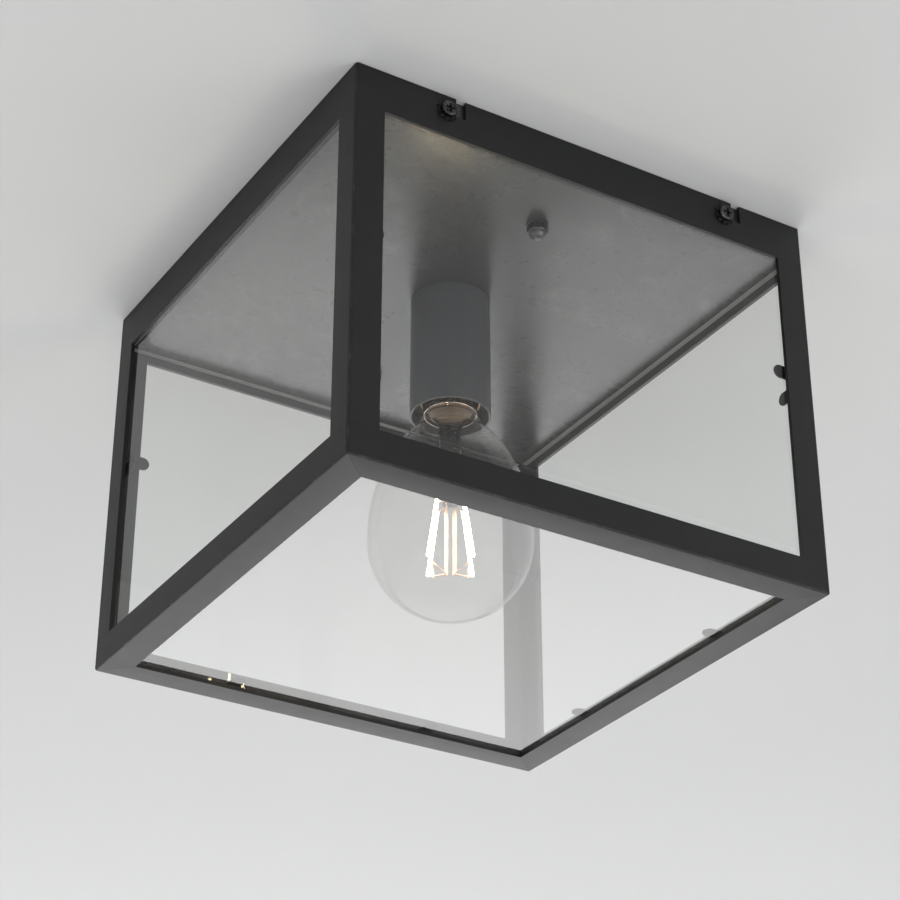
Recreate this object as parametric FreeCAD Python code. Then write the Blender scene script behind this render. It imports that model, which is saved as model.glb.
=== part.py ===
"""Porch ceiling lantern: a black steel cage with five clear panes, hung on a shallow tray.

Millimetres, +Z up.  The origin is the middle of the ceiling face, so everything hangs below z = 0.
The front of the lantern, with two of its four fixing screws, faces -Y.
"""
import FreeCAD, Part
import math
import os

os.makedirs("parts", exist_ok=True)

Vec = FreeCAD.Vector

# ---------------------------------------------------------------- cage
CAGE_WIDTH = 250.0          # outer width along X
CAGE_DEPTH = 250.0          # outer depth along Y
CAGE_HEIGHT = 200.0         # ceiling to the underside of the bottom frame
STEEL = 2.0                 # wall of the cage's strips and angles
BAND_HEIGHT = 22.0          # height of the top band
POST_LEG = 15.0             # leg of a corner post
RAIL_LEG = 15.0             # upright leg of a bottom rail
FLANGE = 15.0               # flat leg of a bottom rail, which carries the glass
CORNER_RADIUS = 1.6         # outer vertical corners
UNDERSIDE_RADIUS = 1.0      # outer lower edge of the bottom frame

# ---------------------------------------------------------------- glass
PANE = 3.0                  # thickness of the five panes
PANE_CLEARANCE = 0.3        # room at the edges of a pane
PANE_BELOW_TRAY = 1.0       # upper edge of a side pane to the tray
TAB_WIDTH = 7.0             # flat tabs with a round tip that hold the panes
TAB_THICKNESS = 1.0
POST_TAB_OVERHANG = 3.5     # how far a post's tab shows past the leg it hides behind
RAIL_TAB_OVERHANG = 4.0     # the same for the tabs of the bottom frame, past its flange
POST_TAB_DEPTH = 84.0       # ceiling to the middle of the upper tab on a post
RAIL_TAB_SPACING = 110.0    # between the two tabs of one bottom rail

# ---------------------------------------------------------------- tray
TRAY_CLEARANCE = 0.5        # cage to tray, all round
TRAY_DEPTH = 16.0           # ceiling to the underside of the tray
TRAY_SHEET = 1.2
TRAY_CORNER_RADIUS = 3.0
TRAY_EDGE_RADIUS = 1.0

# ---------------------------------------------------------------- cage fixing screws
SCREW_SPACING = 156.0       # between the two screws of one side
SCREW_DROP = 8.8            # ceiling to the screw's axis
SCREW_RADIUS = 2.0
HEAD_RADIUS = 3.9
HEAD_HEIGHT = 2.6
HEAD_EDGE_RADIUS = 1.1
RECESS_LENGTH = 4.4         # cross recess, tip to tip
RECESS_WIDTH = 1.0
RECESS_DEPTH = 1.4
SLOT_CLEARANCE = 0.3        # screw to the side of its slot
WASHER_RADIUS = 5.5
WASHER_THICKNESS = 0.9
KEY_CLEARANCE = 0.1         # washer's key to the side of the slot
FACE_CLEARANCE = 0.05       # washer to the band, and its key to the ceiling
RELIEF_OFFSET = 7.5         # screw's axis to the middle of the open relief slot
RELIEF_WIDTH = 5.0
RELIEF_DEPTH = 10.0
INSERT_RADIUS = 3.4         # threaded inserts in the tray's sides
INSERT_LENGTH = 5.0
THREAD_CLEARANCE = 0.05     # thread to thread, radial
TRAY_HOLE_CLEARANCE = 0.3

# ---------------------------------------------------------------- ceiling bracket
BRACKET_LENGTH = 190.0      # along Y
BRACKET_WIDTH = 28.0
BRACKET_SHEET = 2.0
BRACKET_CORNER_RADIUS = 4.0
CEILING_SLOT_SPACING = 100.0
CEILING_SLOT_LENGTH = 14.0
CEILING_SLOT_WIDTH = 5.0
STUD_SPACING = 160.0        # between the two hanging studs, along Y
STUD_RADIUS = 2.0
STUD_COLLAR_RADIUS = 4.0    # clinched collar under the bracket
STUD_COLLAR_HEIGHT = 1.5
STUD_HOLE_CLEARANCE = 0.4
STUD_IN_NUT = 5.0           # thread that reaches into the cap nut
CAP_NUT_FLATS = 9.0         # across flats
CAP_NUT_HEX_HEIGHT = 4.0
CAP_NUT_DOME_RADIUS = 4.2
CAP_NUT_DOME_HEIGHT = 3.4
NUT_WASHER_RADIUS = 5.5
NUT_WASHER_THICKNESS = 0.9

# ---------------------------------------------------------------- lampholder
SLEEVE_RADIUS = 20.0        # outer radius of the plain sleeve
SLEEVE_WALL = 1.2
SLEEVE_PAST_CAP = 0.9       # open rim below the lower edge of the lamp's cap
SLEEVE_RIM_RADIUS = 0.5
NIPPLE_RADIUS = 5.0         # hollow threaded tube that holds sleeve and holder
NIPPLE_BORE = 3.3
NIPPLE_NUT_FLATS = 14.0
NIPPLE_NUT_HEIGHT = 3.0
NIPPLE_ABOVE_NUT = 0.8
NIPPLE_IN_HOLDER = 5.0
NIPPLE_HOLE_CLEARANCE = 0.3
HOLDER_RADIUS = 18.2
HOLDER_SKIRT = 25.0         # lower part that surrounds the lamp's cap
HOLDER_CAVITY_RADIUS = 14.6
CHAMBER_HALF_WIDTH = 3.2    # chamber where the leads reach their screws
CHAMBER_HALF_LENGTH = 13.5
CHAMBER_HEIGHT = 5.5
SHELL_WALL = 0.6            # contact shell round the lamp's cap
SHELL_BELOW_SCREWS = 1.0
SHELL_LENGTH = 21.0
STRAP_WIDTH = 5.0           # strap of the shell, and the leaf of the centre contact
STRAP_THICKNESS = 0.6
LEAF_DROP = 4.4             # how far the leaf is bent down to meet the lamp's tip
LEAF_BEND_START = 7.0       # each bend of the leaf from the holder's middle
LEAF_BEND_END = 3.0
LEAF_PAST_CENTRE = 3.5
HOLDER_SCREW_RADIUS = 1.5
HOLDER_SCREW_OFFSET = 11.0  # each terminal screw from the holder's middle, along Y
HOLDER_SCREW_HEAD_RADIUS = 2.6
HOLDER_SCREW_HEAD_HEIGHT = 1.6

# ---------------------------------------------------------------- lamp
GLOBE_RADIUS = 40.0
GLOBE_ABOVE_PANE = 4.0      # globe's lowest point to the bottom pane
GLASS_WALL = 0.9
NECK_RADIUS = 16.0
NECK_BLEND_RADIUS = 25.0    # hollow curve from globe to neck
NECK_STRAIGHT = 12.0
SHOULDER_HEIGHT = 5.0       # rounded step from the neck in to the collar
COLLAR_RADIUS = 12.5        # the glass inside the cap
COLLAR_HEIGHT = 3.0
CAP_LAP = 1.5               # how far the cap's skirt laps the collar
CAP_RADIUS = 13.2
CAP_ROOT_RADIUS = 12.2
CAP_WALL = 0.5
CAP_SKIRT = 4.0
CAP_THREAD_PITCH = 3.63
CAP_THREAD_TURNS = 4
CAP_TOP_LIP = 2.5
INSULATOR_LOW_RADIUS = 10.0
INSULATOR_TOP_RADIUS = 5.5
INSULATOR_IN_CAP = 1.0
INSULATOR_HEIGHT = 3.5
TIP_RADIUS = 3.6
TIP_HEIGHT = 1.4
STEM_FLARE_RADIUS = 11.4
STEM_FLARE_HEIGHT = 9.0
STEM_RADIUS = 5.5
STEM_BELOW_COLLAR = 1.0     # top of the collar down to the stem's flare
STEM_ABOVE_CENTRE = 18.0    # globe's centre up to the stem's lower end
PILLAR_RADIUS = 0.9
PILLAR_SPACING = 4.0
PILLAR_LENGTH = 37.0
FILAMENT_RADIUS = 0.9
FILAMENT_COUNT = 4
FILAMENT_START = 14.0       # degrees from +X to the first filament
FILAMENT_TOP_RADIUS = 9.0   # circle of the upper ends
FILAMENT_LOW_RADIUS = 15.0  # circle of the lower ends
FILAMENT_HEIGHT = 33.0
FILAMENT_LOWEST = 14.0      # below the globe's centre
WIRE_RADIUS = 0.4
WIRE_RISE = 1.5             # slope of a support wire between its two ends

# ---------------------------------------------------------------- wiring above the tray
BLOCK_LENGTH = 26.0         # terminal block, along X
BLOCK_WIDTH = 17.0
BLOCK_HEIGHT = 9.5
BLOCK_OFFSET = 28.0         # middle of the block from the lantern's axis, towards -Y
BLOCK_PITCH = 8.0
BLOCK_WIRE_BORE = 1.6
BLOCK_SCREW_RADIUS = 1.6
BLOCK_FIXING_RADIUS = 1.2
BLOCK_FIXING_HEAD_RADIUS = 2.2
BLOCK_FIXING_HEAD_HEIGHT = 1.4
LEAD_RADIUS = 1.0
LEAD_BEND = 4.0             # bend of a lead where it turns
LEAD_SPREAD = 1.5           # each lead from the middle of the nipple
LEAD_IN_BLOCK = 8.0
EARTH_X = 30.0              # earth stud on the tray
EARTH_Y = -8.0
EARTH_STUD_RADIUS = 2.0
EARTH_STUD_HEIGHT = 4.8
EARTH_RING_RADIUS = 4.4
EARTH_RING_THICKNESS = 0.8
EARTH_NUT_FLATS = 7.0
EARTH_NUT_HEIGHT = 2.8
EARTH_LEAD_CLEARANCE = 0.2

# ---------------------------------------------------------------- levels and places worked out
TINY = 0.01
QUARTER_TURN = 90.0
HALF_TURN = 180.0
FULL_TURN = 360.0
HALF_X = CAGE_WIDTH / 2.0
HALF_Y = CAGE_DEPTH / 2.0
INNER_X = HALF_X - STEEL
INNER_Y = HALF_Y - STEEL
BAND_BOTTOM = -BAND_HEIGHT
UNDERSIDE = -CAGE_HEIGHT
RAIL_TOP = UNDERSIDE + RAIL_LEG
PANE_SEAT = UNDERSIDE + STEEL
BOTTOM_PANE_TOP = PANE_SEAT + PANE
SIDE_PANE_FOOT = BOTTOM_PANE_TOP + TAB_THICKNESS
TRAY_BOTTOM = -TRAY_DEPTH
TRAY_FLOOR = TRAY_BOTTOM + TRAY_SHEET
TRAY_X = INNER_X - TRAY_CLEARANCE
TRAY_Y = INNER_Y - TRAY_CLEARANCE
SIDE_PANE_TOP = TRAY_BOTTOM - PANE_BELOW_TRAY
SCREW_PLACES = (-SCREW_SPACING / 2.0, SCREW_SPACING / 2.0)
STUD_PLACES = (-STUD_SPACING / 2.0, STUD_SPACING / 2.0)
SLOT_HALF = SCREW_RADIUS + SLOT_CLEARANCE
WASHER_FACE = HALF_Y + FACE_CLEARANCE
HEAD_SEAT = WASHER_FACE + WASHER_THICKNESS
INSERT_END = TRAY_Y - TRAY_SHEET - INSERT_LENGTH
NUT_TOP = TRAY_BOTTOM - NUT_WASHER_THICKNESS
STUD_END = NUT_TOP - STUD_IN_NUT
HOLDER_TOP = TRAY_BOTTOM - SLEEVE_WALL
NIPPLE_TOP = TRAY_FLOOR + NIPPLE_NUT_HEIGHT + NIPPLE_ABOVE_NUT
NIPPLE_END = HOLDER_TOP - NIPPLE_IN_HOLDER
CHAMBER_FLOOR = NIPPLE_END - CHAMBER_HEIGHT
LEAD_LEVEL = CHAMBER_FLOOR + 2.0 * LEAD_RADIUS
HOLDER_SCREWS = ((-LEAD_SPREAD, -HOLDER_SCREW_OFFSET), (LEAD_SPREAD, HOLDER_SCREW_OFFSET))
GLOBE_CENTRE = BOTTOM_PANE_TOP + GLOBE_ABOVE_PANE + GLOBE_RADIUS
BLEND_REACH = GLOBE_RADIUS + NECK_BLEND_RADIUS
BLEND_SIDE = NECK_RADIUS + NECK_BLEND_RADIUS
BLEND_LEVEL = GLOBE_CENTRE + math.sqrt(BLEND_REACH ** 2 - BLEND_SIDE ** 2)
NECK_TOP = BLEND_LEVEL + NECK_STRAIGHT
SHOULDER_TOP = NECK_TOP + SHOULDER_HEIGHT
GLASS_TOP = SHOULDER_TOP + COLLAR_HEIGHT
CAP_BOTTOM = GLASS_TOP - CAP_LAP
THREAD_BOTTOM = CAP_BOTTOM + CAP_SKIRT
CAP_TOP = THREAD_BOTTOM + CAP_THREAD_TURNS * CAP_THREAD_PITCH + CAP_TOP_LIP
INSULATOR_TOP = CAP_TOP + INSULATOR_HEIGHT
LAMP_TOP = INSULATOR_TOP + TIP_HEIGHT
SLEEVE_RIM = CAP_BOTTOM - SLEEVE_PAST_CAP
STRAP_BOTTOM = LAMP_TOP + LEAF_DROP
CAVITY_TOP = STRAP_BOTTOM + STRAP_THICKNESS
HOLDER_BOTTOM = CAVITY_TOP - HOLDER_SKIRT
SHELL_TOP = STRAP_BOTTOM - HOLDER_SCREW_HEAD_HEIGHT - SHELL_BELOW_SCREWS
SHELL_BOTTOM = SHELL_TOP - SHELL_LENGTH
STEM_TOP = GLASS_TOP - STEM_BELOW_COLLAR
STEM_END = GLOBE_CENTRE + STEM_ABOVE_CENTRE
PILLAR_END = STEM_END - PILLAR_LENGTH
FILAMENT_BOTTOM = GLOBE_CENTRE - FILAMENT_LOWEST
FILAMENT_TOP = FILAMENT_BOTTOM + FILAMENT_HEIGHT
BLOCK_TOP = -BRACKET_SHEET
BLOCK_BOTTOM = BLOCK_TOP - BLOCK_HEIGHT
BLOCK_WIRE_LEVEL = (BLOCK_TOP + BLOCK_BOTTOM) / 2.0
BLOCK_WAYS = (-BLOCK_PITCH, 0.0, BLOCK_PITCH)
EARTH_LEVEL = TRAY_FLOOR + LEAD_RADIUS + EARTH_LEAD_CLEARANCE


# ---------------------------------------------------------------- helpers
def block(x0, x1, y0, y1, z0, z1):
    """A box between two values along each axis, in either order."""
    low = Vec(min(x0, x1), min(y0, y1), min(z0, z1))
    return Part.makeBox(abs(x1 - x0), abs(y1 - y0), abs(z1 - z0), low)


def rounded_block(half_x, half_y, z0, z1, radius):
    """An upright box about the axis with rounded vertical corners."""
    body = block(-half_x, half_x, -half_y, half_y, z0, z1)
    upright = [edge for edge in body.Edges if edge.BoundBox.ZLength > TINY]
    return body.makeFillet(radius, upright)


def cylinder(radius, z0, z1, x=0.0, y=0.0):
    """An upright cylinder between two levels."""
    return Part.makeCylinder(radius, abs(z1 - z0), Vec(x, y, min(z0, z1)), Vec(0, 0, 1))


def rod(radius, start, end):
    """A round bar from one point to another."""
    return Part.makeCylinder(radius, (end - start).Length, start, end - start)


def hexagon(flats, z0, z1, x=0.0, y=0.0):
    """An upright hexagonal prism, given across its flats."""
    corner = flats / math.sqrt(3.0)
    angles = [math.tau * step / 6.0 for step in range(6)]
    points = [Vec(x + corner * math.cos(a), y + corner * math.sin(a), z0) for a in angles]
    return Part.Face(Part.makePolygon(points + points[:1])).extrude(Vec(0, 0, z1 - z0))


def joined(shapes):
    """One solid out of several that touch."""
    return shapes[0].fuse(shapes[1:]).removeSplitter()


def line(start, end):
    """A straight edge in the XZ plane, each end as (radius, level)."""
    return Part.LineSegment(Vec(start[0], 0, start[1]), Vec(end[0], 0, end[1])).toShape()


def arc(start, middle, end):
    """A round edge in the XZ plane through three (radius, level) points."""
    return Part.Arc(*[Vec(point[0], 0, point[1]) for point in (start, middle, end)]).toShape()


def turned(edges):
    """A solid of revolution about Z from a closed run of edges in the XZ plane."""
    face = Part.Face(Part.Wire(edges))
    return face.revolve(Vec(0, 0, 0), Vec(0, 0, 1), FULL_TURN)


def swept(radius, edges, start, direction):
    """A round cord along a smooth run of edges."""
    section = Part.Wire([Part.Circle(start, direction, radius).toShape()])
    return Part.Wire(edges).makePipeShell([section], True, True)


def mirrored(shape, across_x, across_y):
    """A copy mirrored to the other side of the planes asked for."""
    copy = shape.copy()
    if across_x:
        copy = copy.mirror(Vec(0, 0, 0), Vec(1, 0, 0))
    if across_y:
        copy = copy.mirror(Vec(0, 0, 0), Vec(0, 1, 0))
    return copy


def save(name, shapes):
    """Write one node; a list becomes a group of separate solids."""
    shape = Part.makeCompound(shapes) if isinstance(shapes, list) else shapes
    shape.exportStep("parts/" + name + ".step")


# ---------------------------------------------------------------- cage
def mitre_zone(side, z0, z1):
    """The room of one side's strip, cut at 45 degrees through the cage's corners."""
    out = STEEL
    deep = 2.0 * FLANGE
    if side in ("front", "rear"):
        sign = -1.0 if side == "front" else 1.0
        far = sign * (HALF_Y + out)
        near = sign * (HALF_Y - deep)
        corners = [(-HALF_X - out, far), (HALF_X + out, far), (HALF_X - deep, near), (deep - HALF_X, near)]
    else:
        sign = -1.0 if side == "left" else 1.0
        far = sign * (HALF_X + out)
        near = sign * (HALF_X - deep)
        corners = [(far, -HALF_Y - out), (far, HALF_Y + out), (near, HALF_Y - deep), (near, deep - HALF_Y)]
    points = [Vec(x, y, z0) for x, y in corners + corners[:1]]
    return Part.Face(Part.makePolygon(points)).extrude(Vec(0, 0, z1 - z0))


def cage_tube(z0, z1):
    """A length of the cage's square outline with its wall, rounded at the corners."""
    outer = rounded_block(HALF_X, HALF_Y, z0, z1, CORNER_RADIUS)
    return outer.cut(block(-INNER_X, INNER_X, -INNER_Y, INNER_Y, z0, z1))


def screw_slots(side):
    """For each screw of a side, an open slot for its shank and an open relief slot beside it."""
    sign = -1.0 if side == "front" else 1.0
    y_out = sign * (HALF_Y + STEEL)
    y_in = sign * (INNER_Y - STEEL)
    cuts = []
    for place in SCREW_PLACES:
        middle = place + RELIEF_OFFSET
        cuts.append(rod(SLOT_HALF, Vec(place, y_out, -SCREW_DROP), Vec(place, y_in, -SCREW_DROP)))
        cuts.append(block(place - SLOT_HALF, place + SLOT_HALF, y_out, y_in, -SCREW_DROP, STEEL))
        cuts.append(block(middle - RELIEF_WIDTH / 2.0, middle + RELIEF_WIDTH / 2.0, y_out, y_in,
                          -RELIEF_DEPTH, STEEL))
    return cuts


def top_band(side):
    """One strip of the top band; the front and rear strips have the screws' slots."""
    strip = cage_tube(BAND_BOTTOM, 0.0).common(mitre_zone(side, BAND_BOTTOM, 0.0))
    return strip.cut(screw_slots(side)) if side in ("front", "rear") else strip


def corner_post(sign_x, sign_y):
    """One angle between the top band and the bottom frame."""
    near_x = HALF_X - POST_LEG
    near_y = HALF_Y - POST_LEG
    corner = block(sign_x * HALF_X, sign_x * near_x, sign_y * HALF_Y, sign_y * near_y, RAIL_TOP, BAND_BOTTOM)
    return cage_tube(RAIL_TOP, BAND_BOTTOM).common(corner)


def bottom_frame():
    """The whole bottom ring of angle before it is parted at the mitres."""
    outer = rounded_block(HALF_X, HALF_Y, UNDERSIDE, RAIL_TOP, CORNER_RADIUS)
    low_edges = [edge for edge in outer.Edges if edge.BoundBox.ZMax < UNDERSIDE + TINY]
    outer = outer.makeFillet(UNDERSIDE_RADIUS, low_edges)
    inside = block(-INNER_X, INNER_X, -INNER_Y, INNER_Y, PANE_SEAT, RAIL_TOP)
    window = block(FLANGE - HALF_X, HALF_X - FLANGE, FLANGE - HALF_Y, HALF_Y - FLANGE, UNDERSIDE, RAIL_TOP)
    return outer.cut([inside, window])


def bottom_rail(side):
    """One angle of the bottom frame."""
    return bottom_frame().common(mitre_zone(side, UNDERSIDE, RAIL_TOP))


# ---------------------------------------------------------------- glass and its tabs
def side_pane(side):
    """An upright pane behind the posts, standing on the tabs of the bottom frame."""
    room = PANE + TAB_THICKNESS + PANE_CLEARANCE
    if side in ("front", "rear"):
        sign = -1.0 if side == "front" else 1.0
        half = INNER_X - room
        return block(-half, half, sign * INNER_Y, sign * (INNER_Y - PANE), SIDE_PANE_FOOT, SIDE_PANE_TOP)
    sign = -1.0 if side == "left" else 1.0
    half = INNER_Y - room
    return block(sign * INNER_X, sign * (INNER_X - PANE), -half, half, SIDE_PANE_FOOT, SIDE_PANE_TOP)


def bottom_pane():
    """The flat pane that lies on the four flanges."""
    half_x = INNER_X - PANE_CLEARANCE
    half_y = INNER_Y - PANE_CLEARANCE
    return block(-half_x, half_x, -half_y, half_y, PANE_SEAT, BOTTOM_PANE_TOP)


def tab(length):
    """A flat tab from x = 0 to its round tip along +X, on top of z = 0."""
    half = TAB_WIDTH / 2.0
    strip = block(0.0, length - half, -half, half, 0.0, TAB_THICKNESS)
    return joined([strip, cylinder(half, 0.0, TAB_THICKNESS, length - half)])


def post_tabs():
    """Two tabs at each post, one on each neighbouring pane, the second just below the first."""
    length = POST_LEG + POST_TAB_OVERHANG - STEEL
    upper = -POST_TAB_DEPTH
    lower = upper - TAB_WIDTH - PANE_CLEARANCE
    on_front = tab(length)
    on_front.rotate(Vec(0, 0, 0), Vec(1, 0, 0), -QUARTER_TURN)
    on_front.translate(Vec(-INNER_X, PANE - INNER_Y, upper))
    on_left = tab(length)
    on_left.rotate(Vec(0, 0, 0), Vec(0, 0, 1), QUARTER_TURN)
    on_left.rotate(Vec(0, 0, 0), Vec(0, 1, 0), QUARTER_TURN)
    on_left.translate(Vec(PANE - INNER_X, -INNER_Y, lower))
    tabs = []
    for across_x in (False, True):
        for across_y in (False, True):
            tabs.append(mirrored(on_front, across_x, across_y))
            tabs.append(mirrored(on_left, across_x, across_y))
    return tabs


def rail_tabs():
    """Two flat tabs on each bottom rail, over the bottom pane and under the side pane."""
    tabs = []
    for place in (-RAIL_TAB_SPACING / 2.0, RAIL_TAB_SPACING / 2.0):
        on_left = tab(FLANGE + RAIL_TAB_OVERHANG - STEEL)
        on_front = on_left.copy()
        on_left.translate(Vec(-INNER_X, place, BOTTOM_PANE_TOP))
        on_front.rotate(Vec(0, 0, 0), Vec(0, 0, 1), QUARTER_TURN)
        on_front.translate(Vec(place, -INNER_Y, BOTTOM_PANE_TOP))
        tabs += [on_left, on_front, mirrored(on_left, True, False), mirrored(on_front, False, True)]
    return tabs


# ---------------------------------------------------------------- tray and its hardware
def base_tray():
    """A shallow pan, open to the ceiling, with its folded sides inside the top band."""
    outer = rounded_block(TRAY_X, TRAY_Y, TRAY_BOTTOM, 0.0, TRAY_CORNER_RADIUS)
    low_edges = [edge for edge in outer.Edges if edge.BoundBox.ZMax < TRAY_BOTTOM + TINY]
    outer = outer.makeFillet(TRAY_EDGE_RADIUS, low_edges)
    cuts = [rounded_block(TRAY_X - TRAY_SHEET, TRAY_Y - TRAY_SHEET, TRAY_FLOOR, 0.0,
                          TRAY_CORNER_RADIUS - TRAY_SHEET)]
    cuts.append(cylinder(NIPPLE_RADIUS + NIPPLE_HOLE_CLEARANCE, TRAY_BOTTOM, TRAY_FLOOR))
    for place in STUD_PLACES:
        cuts.append(cylinder(STUD_RADIUS + STUD_HOLE_CLEARANCE, TRAY_BOTTOM, TRAY_FLOOR, 0.0, place))
    for place in SCREW_PLACES:
        cuts.append(rod(SCREW_RADIUS + TRAY_HOLE_CLEARANCE, Vec(place, -TRAY_Y, -SCREW_DROP),
                        Vec(place, TRAY_Y, -SCREW_DROP)))
    return outer.cut(cuts)


def threaded_inserts():
    """Four threaded inserts clinched behind the tray's front and rear sides."""
    inserts = []
    for sign in (-1.0, 1.0):
        for place in SCREW_PLACES:
            start = Vec(place, sign * (TRAY_Y - TRAY_SHEET), -SCREW_DROP)
            end = Vec(place, sign * INSERT_END, -SCREW_DROP)
            thread = rod(SCREW_RADIUS + THREAD_CLEARANCE, start, end)
            inserts.append(rod(INSERT_RADIUS, start, end).cut(thread))
    return inserts


def key_washer(place, sign):
    """A washer outside the band, with a bent key that fills the open slot above the screw."""
    axis_in = Vec(place, sign * WASHER_FACE, -SCREW_DROP)
    axis_out = Vec(place, sign * HEAD_SEAT, -SCREW_DROP)
    ring = rod(WASHER_RADIUS, axis_in, axis_out)
    key_half = SLOT_HALF - KEY_CLEARANCE
    key = block(place - key_half, place + key_half, sign * INNER_Y, sign * HEAD_SEAT,
                SCREW_RADIUS - SCREW_DROP, -FACE_CLEARANCE)
    bore = rod(SCREW_RADIUS + THREAD_CLEARANCE, Vec(place, sign * (INNER_Y - STEEL), -SCREW_DROP),
               Vec(place, sign * (HEAD_SEAT + STEEL), -SCREW_DROP))
    return joined([ring, key]).cut(bore)


def fixing_screw(place, sign):
    """A pan-head screw with a cross recess that clamps the band to the tray."""
    head_top = HEAD_SEAT + HEAD_HEIGHT
    head = cylinder(HEAD_RADIUS, HEAD_SEAT, head_top)
    top_edges = [edge for edge in head.Edges if edge.BoundBox.ZMin > head_top - TINY]
    head = head.makeFillet(HEAD_EDGE_RADIUS, top_edges)
    shank = cylinder(SCREW_RADIUS, INSERT_END, HEAD_SEAT)
    half_long = RECESS_LENGTH / 2.0
    half_wide = RECESS_WIDTH / 2.0
    recess_floor = head_top - RECESS_DEPTH
    across = block(-half_long, half_long, -half_wide, half_wide, recess_floor, head_top)
    upright = block(-half_wide, half_wide, -half_long, half_long, recess_floor, head_top)
    screw = joined([head, shank]).cut([across, upright])
    screw.rotate(Vec(0, 0, 0), Vec(1, 0, 0), -QUARTER_TURN * sign)
    screw.translate(Vec(place, 0, -SCREW_DROP))
    return screw


# ---------------------------------------------------------------- ceiling bracket
def ceiling_bracket():
    """A flat strap for the ceiling, with two slotted holes and two stud holes."""
    strap = rounded_block(BRACKET_WIDTH / 2.0, BRACKET_LENGTH / 2.0, -BRACKET_SHEET, 0.0,
                          BRACKET_CORNER_RADIUS)
    half_wide = CEILING_SLOT_WIDTH / 2.0
    half_run = CEILING_SLOT_LENGTH / 2.0 - half_wide
    cuts = [cylinder(BLOCK_FIXING_RADIUS, -BRACKET_SHEET, 0.0, -BLOCK_PITCH / 2.0, -BLOCK_OFFSET)]
    for place in (-CEILING_SLOT_SPACING / 2.0, CEILING_SLOT_SPACING / 2.0):
        cuts.append(block(-half_wide, half_wide, place - half_run, place + half_run, -BRACKET_SHEET, 0.0))
        cuts.append(cylinder(half_wide, -BRACKET_SHEET, 0.0, 0.0, place - half_run))
        cuts.append(cylinder(half_wide, -BRACKET_SHEET, 0.0, 0.0, place + half_run))
    for place in STUD_PLACES:
        cuts.append(cylinder(STUD_RADIUS, -BRACKET_SHEET, 0.0, 0.0, place))
    return strap.cut(cuts)


def bracket_stud(place):
    """A threaded stud clinched in the bracket, down through the tray into its cap nut."""
    shaft = cylinder(STUD_RADIUS, STUD_END, 0.0, 0.0, place)
    collar = cylinder(STUD_COLLAR_RADIUS, -BRACKET_SHEET - STUD_COLLAR_HEIGHT, -BRACKET_SHEET, 0.0, place)
    return joined([shaft, collar])


def stud_washer(place):
    """A flat washer under the tray at a stud."""
    ring = cylinder(NUT_WASHER_RADIUS, NUT_TOP, TRAY_BOTTOM, 0.0, place)
    return ring.cut(cylinder(STUD_RADIUS + STUD_HOLE_CLEARANCE, NUT_TOP, TRAY_BOTTOM, 0.0, place))


def cap_nut(place):
    """A domed nut on the end of a stud."""
    hex_low = NUT_TOP - CAP_NUT_HEX_HEIGHT
    dome_low = hex_low - CAP_NUT_DOME_HEIGHT
    body = hexagon(CAP_NUT_FLATS, hex_low, NUT_TOP, 0.0, place)
    ball = Part.makeSphere(CAP_NUT_DOME_RADIUS, Vec(0, place, dome_low + CAP_NUT_DOME_RADIUS))
    reach = CAP_NUT_FLATS
    ball = ball.common(block(-reach, reach, place - reach, place + reach, dome_low - reach, hex_low + TINY))
    return joined([body, ball]).cut(cylinder(STUD_RADIUS, STUD_END, NUT_TOP, 0.0, place))


# ---------------------------------------------------------------- lampholder
def lampholder_sleeve():
    """The plain round sleeve, closed at the top with a hole for the nipple, open at the rim."""
    tube = cylinder(SLEEVE_RADIUS, SLEEVE_RIM, TRAY_BOTTOM)
    tube = tube.cut([cylinder(SLEEVE_RADIUS - SLEEVE_WALL, SLEEVE_RIM, HOLDER_TOP),
                     cylinder(NIPPLE_RADIUS + NIPPLE_HOLE_CLEARANCE, HOLDER_TOP, TRAY_BOTTOM)])
    rim_edges = [edge for edge in tube.Edges if edge.BoundBox.ZMax < SLEEVE_RIM + TINY]
    return tube.makeFillet(SLEEVE_RIM_RADIUS, rim_edges)


def nipple():
    """The hollow threaded tube that the leads come down through."""
    return cylinder(NIPPLE_RADIUS, NIPPLE_END, NIPPLE_TOP).cut(cylinder(NIPPLE_BORE, NIPPLE_END, NIPPLE_TOP))


def nipple_nut():
    """The flat nut on top of the tray that pulls the sleeve up tight."""
    high = TRAY_FLOOR + NIPPLE_NUT_HEIGHT
    return hexagon(NIPPLE_NUT_FLATS, TRAY_FLOOR, high).cut(cylinder(NIPPLE_RADIUS, TRAY_FLOOR, high))


def lampholder_body():
    """The insulating holder: a thick head with the wiring chamber, and a skirt round the cap."""
    body = cylinder(HOLDER_RADIUS, HOLDER_BOTTOM, HOLDER_TOP)
    cuts = [cylinder(HOLDER_CAVITY_RADIUS, HOLDER_BOTTOM, CAVITY_TOP)]
    cuts.append(cylinder(NIPPLE_RADIUS, NIPPLE_END, HOLDER_TOP))
    cuts.append(block(-CHAMBER_HALF_WIDTH, CHAMBER_HALF_WIDTH, -CHAMBER_HALF_LENGTH, CHAMBER_HALF_LENGTH,
                      CHAMBER_FLOOR, NIPPLE_END))
    for x, y in HOLDER_SCREWS:
        cuts.append(cylinder(HOLDER_SCREW_RADIUS, CAVITY_TOP, CHAMBER_FLOOR, x, y))
    return body.cut(cuts)


def holder_screws():
    """The two terminal screws, from the cavity up to the leads."""
    screws = []
    for x, y in HOLDER_SCREWS:
        shank = cylinder(HOLDER_SCREW_RADIUS, STRAP_BOTTOM, LEAD_LEVEL - LEAD_RADIUS, x, y)
        head_low = STRAP_BOTTOM - HOLDER_SCREW_HEAD_HEIGHT
        head = cylinder(HOLDER_SCREW_HEAD_RADIUS, head_low, STRAP_BOTTOM, x, y)
        screws.append(joined([shank, head]))
    return screws


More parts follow.
